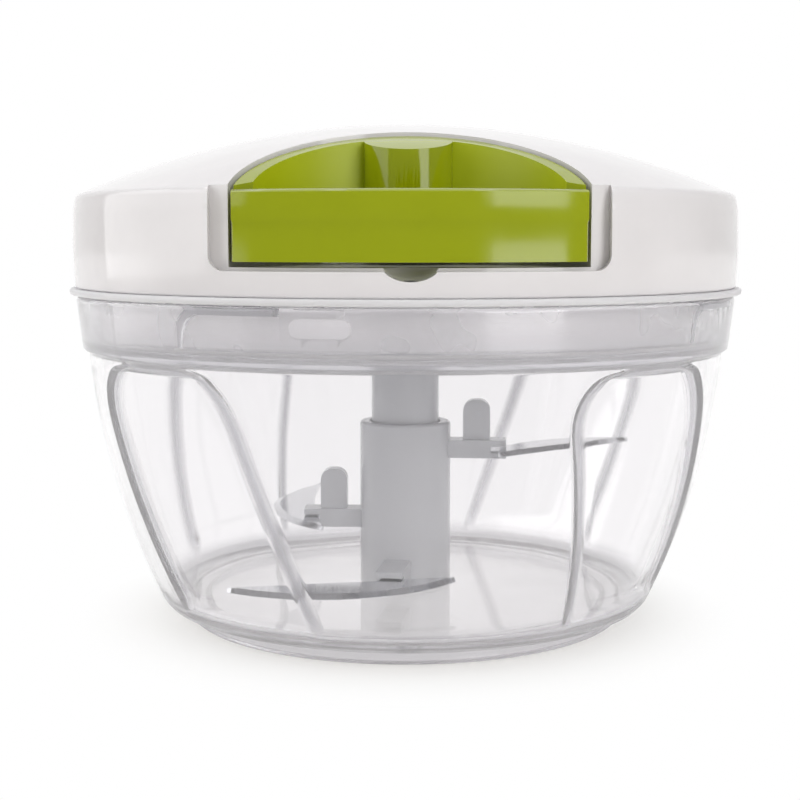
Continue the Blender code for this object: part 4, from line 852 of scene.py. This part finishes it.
def make_lid_cover():
    """The cover's shell with its pocket, notch, finger scoop and cord hole."""
    edge = dome_z(LID_TOP_RADIUS)
    dome = [(i * 5.2, dome_z(i * 5.2), 0) for i in range(12)]
    lid = lathe("lid_moulding", rounded(
        dome + [(LID_TOP_RADIUS, edge, 1.7), (65.1, 80.5, 12), (LID_RADIUS, 73.0, 12),
                (65.0, LID_BOTTOM, 0.5), (0, LID_BOTTOM, 0)], 8), 192)
    inner = LID_TOP_RADIUS - LID_WALL
    apex = DOME_APEX - LID_WALL
    cavity = lathe("cavity", rounded(
        [(inner * i / 12, dome_z(inner * i / 12, apex), 0) for i in range(12)]
        + [(inner, dome_z(inner, apex), 1.0), (LID_RADIUS - LID_WALL, LID_BOTTOM - 1, 0),
           (0, LID_BOTTOM - 1, 0)]), 160)
    screws = turned_points(COVER_SCREW_RADIUS, COVER_SCREW_ANGLES)
    cut(cavity, raised("pocket_shell", handle_outline(2.8, -67), 68.6, ABOVE_LID),
        *[rod("boss", 3.2, LID_BOTTOM, ABOVE_LID, x, y) for x, y in screws])
    half = math.degrees(math.asin(NOTCH_HALF / 63.0))
    room = raised("notch", arc(63.0, -90 - half, -90 + half, 60)
                  + [(NOTCH_HALF, BEFORE_LID), (-NOTCH_HALF, BEFORE_LID)], NOTCH_FLOOR, ABOVE_LID)
    middle = (NOTCH_HALF - NOTCH_CORNER, NOTCH_FLOOR + NOTCH_CORNER)
    sides = arc(NOTCH_CORNER, 180, 270, 8, (-middle[0], middle[1]))
    sides += arc(NOTCH_CORNER, 270, 360, 8, middle)
    front_view = raised("notch_sides", sides + [(NOTCH_HALF, 120), (-NOTCH_HALF, 120)], 0, 90)
    front_view.data.transform(Matrix.Rotation(math.pi / 2, 4, "X"))
    scoop = lathe("scoop", arc(1.0, 90, -90, 24), 48)
    scoop.scale = SCOOP_SIZE
    scoop.location = (0, -LID_TOP_RADIUS * MM, SCOOP_Z * MM)
    return cut(lid, cavity,
               raised("pocket", handle_outline(0.8, BEFORE_LID), POCKET_FLOOR, ABOVE_LID),
               block("side_gaps", (-30.2, 30.2), (BEFORE_LID, HANDLE_ARC_Y),
                     (POCKET_FLOOR, ABOVE_LID)),
               boolean(room, front_view, "INTERSECT"), scoop,
               *[rod("screw_hole", SCREW_HOLE, LID_BOTTOM - 1, 73.5, x, y) for x, y in screws],
               rod_along_y("cord_hole", 2.9, -32.2, -28.2, CORD_Z))


lid = make_lid_cover()
softened(lid, 0.45)
finish_piece(lid, white_abs, "lid", "white_cover", "lid_cover")

# %% [markdown]
# ## Handle
#
# The handle is a green D: a flush bar in front, a curved wall behind it, and a post that holds
# the cord's knot. The bar follows the lid's rim and stays lower than the dome.

# %% Handle
HANDLE_FRONT = 64.7
HANDLE_LOW = 71.5
BAR_TOP = 83.2
BAR_BACK = -55.7
FINGER_HALF, FINGER_DEPTH = 25.8, 22.64
POST_RADIUS, POST_Y = 7.8, -35.6


def make_handle():
    """The handle with its bar, back wall and cord post."""
    half = math.degrees(math.asin(HANDLE_HALF / HANDLE_FRONT))
    back = arc(HANDLE_HALF, 0, 180, 96, (0.0, HANDLE_ARC_Y), HANDLE_DEPTH / HANDLE_HALF)
    front = arc(HANDLE_FRONT, -90 - half, -90 + half, 64)
    grip = raised("handle_moulding", back[:-1] + front[:-1], HANDLE_LOW, DOME_APEX)
    cap = lathe("dome", [(70 * i / 24, dome_z(70 * i / 24, DOME_APEX - 0.6)) for i in range(25)]
                + [(70, 60), (0, 60)], 160)
    boolean(grip, cap, "INTERSECT")
    start = math.degrees(math.asin((BAR_BACK - HANDLE_ARC_Y) / FINGER_DEPTH))
    hole = raised("finger_room", arc(FINGER_HALF, start, 180 - start, 96, (0.0, HANDLE_ARC_Y),
                                     FINGER_DEPTH / FINGER_HALF), 60, 110)
    cut(hole, rod("post", POST_RADIUS, 50, 120, 0, POST_Y, 72))
    return cut(grip, block("bar_room", (-70, 70), (-80, BAR_BACK + 0.8), (BAR_TOP, 110)), hole)


def step_back(obj, radius, depth, low, high):
    """Set the front back by a small depth below a height, with a slope between, in mm."""
    shape = bmesh.new()
    shape.from_mesh(obj.data)
    for z in (low, high):
        bmesh.ops.bisect_plane(shape, geom=[*shape.verts, *shape.edges, *shape.faces],
                               plane_co=(0, 0, z * MM), plane_no=(0, 0, 1))
    for vertex in shape.verts:
        reach = math.hypot(vertex.co.x, vertex.co.y) / MM
        if reach > radius and vertex.co.y < 0 and vertex.co.z < (low + 0.01) * MM:
            vertex.co.x *= 1 - depth / reach
            vertex.co.y *= 1 - depth / reach
    shape.to_mesh(obj.data)
    shape.free()


def merge_close(obj, distance=0.001):
    """Merge points that booleans leave closer than a distance in mm."""
    shape = bmesh.new()
    shape.from_mesh(obj.data)
    bmesh.ops.remove_doubles(shape, verts=shape.verts, dist=distance * MM)
    shape.to_mesh(obj.data)
    shape.free()


handle = softened(make_handle(), 0.5)
step_back(handle, HANDLE_FRONT - 0.6, 0.5, 77.8, 78.3)
cut(handle, rod_along_y("knot_room", 2.5, -45, -36.1, CORD_Z),
    rod_along_y("cord_bore", 1.3, -40, -31, CORD_Z))
merge_close(handle)
finish_piece(handle, green_abs, "handle", "green_handle", "handle_grip")

# %% Satin inside of the handle
# The mould's core isn't polished as its outside is, so the inner walls shine less, and their
# green is painted lighter than the outside's: painted light for the light that falls inside
handle.data.materials.append(lightened_green_satin)
inner_faces = 0
for face in handle.data.polygons:
    x, y = face.center.x / MM, face.center.y / MM
    inside = math.hypot(x / (FINGER_HALF + 0.4), (y - HANDLE_ARC_Y) / (FINGER_DEPTH + 0.36)) < 1
    inside = inside and y > BAR_BACK - 0.1 and math.hypot(x, y - POST_Y) > POST_RADIUS + 0.4
    if inside and abs(face.normal.z) < 0.5:
        face.material_index = 1
        inner_faces += 1
print("satin faces", inner_faces)

# %% [markdown]
# ## Lid base and seal
#
# The base is a milky plate that closes the lid from below. Its flange shows as a thin line
# round the chopper, and its skirt reaches down inside the bowl's collar with four lugs. A soft
# ring under the skirt keeps liquid in. All are turned shapes, with the lugs joined on.

# %% Lid base and seal
PLATE_LOW, PLATE_HIGH = 64.5, 65.7
FLANGE_RADIUS, FLANGE_MILK = 66.08, 1.1
SKIRT_INNER, SKIRT_OUTER, SKIRT_LOW = 59.1, 60.7, 57.0
HUB_HOLE, HUB_COLLAR, HUB_COLLAR_LOW = 8.4, 10.2, 60.0
LUG_START, LUG_END = -18.4, -8.8
LUG_ROOT, LUG_REACH, LUG_LEVEL = 59.9, 62.2, 60.8
SEAL_REACH, SEAL_LOW, SEAL_HIGH = 62.1, 55.8, 56.7


def make_lug(turn, steps=36):
    """A lug on the skirt with round ends, lofted as the tracks are."""
    sections = []
    for i in range(steps + 1):
        t = i / steps
        angle = LUG_START + (LUG_END - LUG_START) * (1 - math.cos(math.pi * t)) / 2
        end = min(angle - LUG_START, LUG_END - angle) / 1.6
        half = 0.25 + 1.45 * math.sqrt(1 - (1 - min(end, 1)) ** 2)
        low, high = LUG_LEVEL - half, LUG_LEVEL + half
        sections.append([(LUG_ROOT, low), (LUG_REACH, low), (LUG_REACH, high),
                         (LUG_ROOT, high), angle + turn])
    return softened(loft("lug", sections), 0.25, 3, 50)


def make_lid_base():
    """Plate, flange, skirt, lugs, hub collar and screw bosses in one piece."""
    base = lathe("lid_base_moulding", rounded([
        (HUB_HOLE, PLATE_HIGH, 0.2), (FLANGE_RADIUS, PLATE_HIGH, 0.5),
        (FLANGE_RADIUS, PLATE_LOW, 0.5), (SKIRT_OUTER, PLATE_LOW, 0.4),
        (SKIRT_OUTER, SKIRT_LOW, 0.4), (SKIRT_INNER, SKIRT_LOW, 0.4),
        (SKIRT_INNER, PLATE_LOW, 0.6), (HUB_COLLAR, PLATE_LOW, 0.6),
        (HUB_COLLAR, HUB_COLLAR_LOW, 0.4), (HUB_HOLE, HUB_COLLAR_LOW, 0.3)]), 192)
    mark = base.data.attributes.new("edge", "FLOAT", "POINT")
    for vertex in base.data.vertices:
        if vertex.co.z > (PLATE_LOW - 0.1) * MM:
            mark.data[vertex.index].value = FLANGE_MILK
    join(base, *[make_lug(90 * i) for i in range(4)])
    for x, y in turned_points(CAP_SCREW_RADIUS, CAP_SCREW_ANGLES):
        join(base, rod("boss", 2.5, 62.5, 65.1, x, y))
        cut(base, rod("hole", SCREW_HOLE, 64.4, 67, x, y))
    return cut(base, *[rod("hole", SCREW_HOLE, 63, 67, x, y)
                       for x, y in turned_points(COVER_SCREW_RADIUS, COVER_SCREW_ANGLES)])


finish_piece(make_lid_base(), milky_pp, "lid", "frosted_base", "lid_base")
seal = lathe("seal_lip", rounded([
    (SKIRT_INNER, SEAL_HIGH, 0.35), (SEAL_REACH, SEAL_HIGH, 0.35),
    (SEAL_REACH, SEAL_LOW, 0.35), (SKIRT_INNER, SEAL_LOW, 0.35)]), 160)
finish_piece(seal, silicone, "lid_seal", "seal_rubber", "seal_ring")

# %% [markdown]
# ## Shaft
#
# The grey shaft is two mouldings. The sleeve has an arm for each blade, forked at its end so
# that it grips the steel, and two arms carry an upright tab that pushes food back to the
# blades. The core plugs into the sleeve and ends in a dog that the lid drives. Tabs and
# arms are prisms, because the real ones are drawn straight out of a two-part mould.

# %% Shaft
ARM_START, ARM_END, ARM_HALF, ARM_RISE = 8.2, 20.5, 2.6, 1.8
SLOT_START, FORK_START, SLOT_END, SLOT_RISE = 12.2, 17.4, 22, 0.7
TAB_HEIGHT, TAB_HALF = 11.7, 1.5
BLADE_LEVELS = {"lower": 10.0, "middle": 18.9, "upper": 33.1}
ARM_TURNS = {"lower": -100.0, "middle": 178.0, "upper": -5.0}


def turn_to(obj, degrees):
    """Turn a mesh about the axis."""
    obj.data.transform(Matrix.Rotation(math.radians(degrees), 4, "Z"))
    return obj


def make_tab(low, degrees):
    """An upright tab with a rounded head, drawn in the flat and then stood up."""
    left, right, high, curve = 11.8, 17.2, low + TAB_HEIGHT, 2.3
    outline = [(left, low), (right, low)]
    outline += arc(curve, 0, 90, 10, (right - curve, high - curve))
    outline += arc(curve, 90, 180, 10, (left + curve, high - curve))
    tab = raised("tab", outline, -TAB_HALF, TAB_HALF)
    tab.data.transform(Matrix.Rotation(math.pi / 2, 4, "X"))
    return turn_to(tab, degrees)


def make_sleeve():
    """Sleeve with its arms and tabs, and the slots for the blades."""
    sleeve = lathe("shaft_sleeve_moulding", rounded([
        (0, 21.7, 0), (7.1, 21.7, 0.2), (7.1, 38.6, 0.4), (9.2, 38.6, 0.7), (9.2, 5.5, 0.5),
        (5.0, 5.5, 0.3), (5.0, 8.1, 0.2), (2.3, 8.1, 0.2), (2.3, 17.3, 0), (0, 17.3, 0)]), 96)
    for name, degrees in ARM_TURNS.items():
        level = BLADE_LEVELS[name]
        arm = block("arm", (ARM_START, ARM_END), (-ARM_HALF, ARM_HALF),
                    (level - ARM_RISE, level + ARM_RISE))
        join(sleeve, turn_to(arm, degrees))
        if name != "lower":
            join(sleeve, make_tab(level - ARM_RISE, degrees))
    softened(sleeve, 0.4, 3, 40)
    for name, degrees in ARM_TURNS.items():
        slot = (BLADE_LEVELS[name] - SLOT_RISE, BLADE_LEVELS[name] + SLOT_RISE)
        cut(sleeve, turn_to(block("tongue", (SLOT_START, SLOT_END), (-1.9, 1.9), slot), degrees),
            turn_to(block("fork", (FORK_START, SLOT_END), (-4, 4), slot), degrees))
    return sleeve


def make_core():
    """Core with its neck and the two ears of the dog."""
    core = lathe("shaft_core_moulding", rounded([
        (0, 62.4, 0), (3.2, 62.4, 0.6), (3.2, 57.0, 0.3), (6.8, 57.0, 0.8), (6.8, 22.0, 0.4),
        (0, 22.0, 0)]), 96)
    return softened(join(core, block("ears", (-5.6, 5.6), (-1.4, 1.4), (56.5, 61.9))), 0.3, 3, 40)


finish_piece(make_sleeve(), grey_pp, "blade_unit", "grey_moulding", "shaft_sleeve")
finish_piece(make_core(), grey_pp, "blade_unit", "grey_moulding", "shaft_core")

# %% [markdown]
# ## Blades
#
# Each blade is a sickle: its outside is ground to an edge on the upper face, its back is
# square. A flat outline can't show the grind, so the blade is lofted: many narrow sections
# run from the back to the edge, and each has a flat part and a sloping part.

# %% Blades
BLADE_SPAN = 49.0
BLADE_HALF = 0.4
GRIND_WIDTH = 1.6
# Directions in degrees and shares of the longest reach: heel, edge, tip and back
BLADE_PLANS = {
    "lower": ((-60.3, 0.411), (-105.1, 0.666), (-142.6, 0.873), (-113.8, 0.480)),
    "middle": ((-139.8, 0.427), (161.3, 0.603), (116.0, 0.885), (154.7, 0.429)),
    "upper": ((-34.8, 0.447), (1.6, 0.715), (11.8, 1.0), (13.6, 0.609)),
}


def arc_through(a, b, c, shares):
    """Points on the circle through three points, at these shares of the way from a to c."""
    x, y, radius = circle_through(a, b, c)
    start, through, end = [math.atan2(p[1] - y, p[0] - x) for p in (a, b, c)]
    sweep = (end - start) % (2 * math.pi)
    if (through - start) % (2 * math.pi) > sweep:
        sweep -= 2 * math.pi
    return [(x + radius * math.cos(start + sweep * t), y + radius * math.sin(start + sweep * t))
            for t in shares]


def make_blade(name, count=56):
    """One blade with its ground edge and the tongue that its arm grips."""
    heel, edge, tip, back = [turned_points(BLADE_SPAN * share, [angle])[0]
                             for angle, share in BLADE_PLANS[name]]
    shares = [0.02 + 0.965 * i / count for i in range(count + 1)]
    z = BLADE_LEVELS[name]
    rings = []
    for e, b in zip(arc_through(heel, edge, tip, shares), arc_through(heel, back, tip, shares)):
        width = math.dist(e, b)
        share = min(GRIND_WIDTH / width, 0.6)
        g = (e[0] + (b[0] - e[0]) * share, e[1] + (b[1] - e[1]) * share)
        section = [(*b, z + BLADE_HALF), (*g, z + BLADE_HALF), (*e, z - BLADE_HALF + 0.08),
                   (*e, z - BLADE_HALF), (*b, z - BLADE_HALF)]
        rings.append([Vector(p) * MM for p in section])
    blade = skin("blade_steel_" + name, rings)
    tongue = block("tongue", (12.5, 23.5), (-1.6, 1.6), (z - BLADE_HALF, z + BLADE_HALF))
    return join(blade, turn_to(tongue, ARM_TURNS[name]))


for name in BLADE_PLANS:
    finish_piece(make_blade(name), blade_steel, "blade_unit", "blade_steel", "blade_" + name,
                 smooth=14)

# %% [markdown]
# ## Drive hub
#
# The hub hangs through the lid's base and takes the dog of the shaft between two keys. Inside
# the lid it widens into the ratchet's ring, whose teeth the two pawls push when the cord is
# pulled. The ring's inner outline is a saw of straight lines, so it is raised and joined on.

# %% Drive hub
RATCHET_TEETH, FIRST_TOOTH = 12, 50.5
RATCHET_RADIUS, RATCHET_LOW, RATCHET_HIGH = 20.0, 68.5, 72.2
# Radius of the saw's outline at shares of the way from one tooth to the next
TOOTH_SLOPE = ((16.0, 0.0), (17.0, 0.5), (18.0, 1.0))


def make_hub():
    """Hub with its socket, keys and ratchet ring."""
    hub = lathe("drive_hub_moulding", rounded([
        (0, 67.5, 0), (2.9, 67.5, 0), (2.9, 69.0, 0.2), (20.5, 69.0, 0.4), (20.5, 67.1, 0.4),
        (8.0, 67.1, 0.4), (8.0, 57.8, 0.5), (6.2, 57.8, 0.3), (6.2, 63.8, 0), (0, 63.8, 0)]), 96)
    saw = []
    for i in range(RATCHET_TEETH):
        for radius, step in TOOTH_SLOPE:
            saw += turned_points(radius, [FIRST_TOOTH + 360 / RATCHET_TEETH * (i + step)])
    ring = cut(rod("ratchet", RATCHET_RADIUS, RATCHET_LOW, RATCHET_HIGH, sides=96),
               raised("saw", saw, 60, 80))
    return join(hub, ring, *[block("key", (-1.4, 1.4), y, (57.8, 64.3))
                             for y in ((3.9, 7.0), (-7.0, -3.9))])


finish_piece(make_hub(), grey_pp, "drive", "grey_moulding", "drive_hub")

# %% [markdown]
# ## Screws
#
# Seven pan-head screws hold the lid together. The head is a turned dome and the cross in it
# is cut with two blocks, since a plain disc would look like a rivet.

# %% Screws
HALF_PITCH = 0.3
THREAD_ROOT, THREAD_CREST = 0.95, 1.2
HEAD_RADIUS, HEAD_HEIGHT = 2.5, 1.3


def make_screw(name, head, tip, x, y):
    """A pan-head screw from the seat of its head to its tip, which may point up or down."""
    length = abs(tip - head)
    turns = int(length / HALF_PITCH) - 3
    thread = [(THREAD_CREST if i % 2 else THREAD_ROOT, HALF_PITCH * (i + 1), 0)
              for i in range(turns)]
    screw = lathe(name, rounded(
        [(0, length, 0), (0.2, length, 0)] + thread[::-1]
        + [(THREAD_CREST, 0, 0.1), (HEAD_RADIUS, 0, 0.15), (HEAD_RADIUS, -0.5, 0.2),
           (1.5, -HEAD_HEIGHT, 0.8), (0, -HEAD_HEIGHT, 0)]), 32)
    cut(screw, *[block("cross", (-wide, wide), (-deep, deep), (-2, -0.7))
                 for wide, deep in ((1.3, 0.25), (0.25, 1.3))])
    if tip < head:
        screw.data.transform(Matrix.Rotation(math.pi, 4, "X"))
    screw.data.transform(Matrix.Translation((x * MM, y * MM, head * MM)))
    return screw


for kind, radius, angles, head, tip in (
        ("cover", COVER_SCREW_RADIUS, COVER_SCREW_ANGLES, 64.2, 73.2),
        ("cap", CAP_SCREW_RADIUS, CAP_SCREW_ANGLES, 68.7, 64.7)):
    for i, (x, y) in enumerate(turned_points(radius, angles), 1):
        finish_piece(make_screw("%s_pan_screw_%d" % (kind, i), head, tip, x, y), zinc_steel,
                     "lid", "plain_steel", "%s_screw_%d" % (kind, i))

# %% [markdown]
# ## Cord
#
# At rest nine tenths of the cord is on the spool. When the handle is pulled the
# cord pays out. The short run between the guide and the knot is a tube whose surface has
# crossing ridges, because a smooth tube would look like wire. The knot is a trefoil: the
# simplest real knot.

# %% Cord, knot and guide
CORD_RADIUS = 0.9
BRAID_RIDGE = 0.14
KNOT_STEPS, KNOT_SCALE, KNOT_DEPTH = 90, 0.46, 0.88
GUIDE_Y, TAIL_Y, KNOT_Y = -28.0, -36.1, -38.6
INNER_TURNS, OUTER_TURN = 13.9, 16.0
CORD_TURNS = 3.25
LEAD_END_Y = GUIDE_Y + 0.3
LEAVE_ANGLE = -90 - math.degrees(math.acos(OUTER_TURN / -LEAD_END_Y))


def tube(name, centers, radius, sides, closed=False, ridges=0.0):
    """A tube along points in mm. Ridges is the height of a braid that crosses on it."""
    rings = []
    count = len(centers)
    side = Vector((0, 0, 1))
    for i, center in enumerate(centers):
        ahead = Vector(centers[(i + 1) % count if closed else min(i + 1, count - 1)])
        behind = Vector(centers[i - 1 if closed or i else 0])
        along = (ahead - behind).normalized()
        side = (side - along * side.dot(along)).normalized()
        other = along.cross(side)
        ring = []
        for j in range(sides):
            turn = 2 * math.pi * j / sides
            braid = math.cos(3 * turn + 0.9 * i) * math.cos(3 * turn - 0.9 * i)
            reach = radius - ridges * (0.5 - 0.5 * braid)
            ring.append((Vector(center) + (side * math.cos(turn) + other * math.sin(turn))
                         * reach) * MM)
        rings.append(ring)
    return skin(name, rings, closed)


def wound_path(per_turn=112):
    """Two turns side by side on the spool's core, then more on top that sink to the guide."""
    points = []
    for i in range(round(CORD_TURNS * per_turn) + 1):
        turn = i / per_turn
        climb = smooth((turn - 1.85) / 0.3)
        sink = min(max((turn - 2.15) / 0.95, 0.0), 1.0)
        level = CORD_Z + CORD_RADIUS * (2 * smooth((turn - 0.8) / 0.3) - 2 * sink - 1)
        angle = math.radians(LEAVE_ANGLE - 360 * (CORD_TURNS - turn))
        radius = INNER_TURNS + (OUTER_TURN - INNER_TURNS) * climb
        points.append((radius * math.cos(angle), radius * math.sin(angle), level))
    return points


def lead_path(count=24):
    """From the spool's outer turn to the guide: tangent at one end, square at the other."""
    x0, y0 = turned_points(OUTER_TURN, [LEAVE_ANGLE])[0]
    reach = math.hypot(x0, LEAD_END_Y - y0)
    points = []
    for i in range(count + 1):
        t = i / count
        a, b = 2 * t ** 3 - 3 * t ** 2 + 1, t ** 3 - 2 * t ** 2 + t
        points.append((a * x0 - b * x0,
                       a * y0 + (b + 1 - a) * LEAD_END_Y - b * y0
                       - (t ** 3 - t ** 2) * reach * 0.7,
                       CORD_Z - CORD_RADIUS * (1 - smooth(t))))
    return points


def path_length(points):
    """Length along points, in mm."""
    return sum(math.dist(a, b) for a, b in zip(points, points[1:]))


wound = tube("wound_cord_turns", wound_path(), CORD_RADIUS - 0.05, 12, ridges=BRAID_RIDGE)
finish_piece(wound, cord_braid, "spool", "cord_fibre", "wound_cord", smooth=80)
lead = tube("cord_lead_run", lead_path(), CORD_RADIUS, 18, ridges=BRAID_RIDGE)
finish_piece(lead, cord_braid, "lid", "cord_fibre", "cord_lead", smooth=80)
run = [(0, GUIDE_Y + (TAIL_Y - GUIDE_Y) * i / 120, CORD_Z) for i in range(121)]
print("cord length in mm:", round(sum(map(path_length, (wound_path(), lead_path(), run)))))
cord = tube("pull_cord", run, CORD_RADIUS, 18, ridges=BRAID_RIDGE)
cord.data.materials.append(cord_braid)
cord.data.shade_smooth()
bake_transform(cord)
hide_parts("cord_tail")

loops = []
for i in range(KNOT_STEPS):
    t = 2 * math.pi * i / KNOT_STEPS
    loops.append((KNOT_SCALE * (math.sin(t) + 2 * math.sin(2 * t)),
                  KNOT_Y - KNOT_DEPTH * math.sin(3 * t),
                  CORD_Z + KNOT_SCALE * (math.cos(t) - 2 * math.cos(2 * t))))
knot = tube("cord_knot_tied", loops, 0.75, 14, closed=True, ridges=0.1)
finish_piece(knot, cord_braid, "handle", "cord_fibre", "cord_knot", smooth=80)

guide = lathe("cord_guide_bush", rounded([
    (1.3, 3.2, 0.5), (2.6, 3.2, 0.2), (2.6, 0.9, 0.1), (3.8, 0.9, 0.3), (3.8, 0, 0.4),
    (1.3, 0, 0.5)]), 64)
guide.data.transform(Matrix.Translation((0, GUIDE_Y * MM, CORD_Z * MM))
                     @ Matrix.Rotation(math.pi / 2, 4, "X"))
finish_piece(guide, grey_pp, "lid", "grey_moulding", "cord_guide")
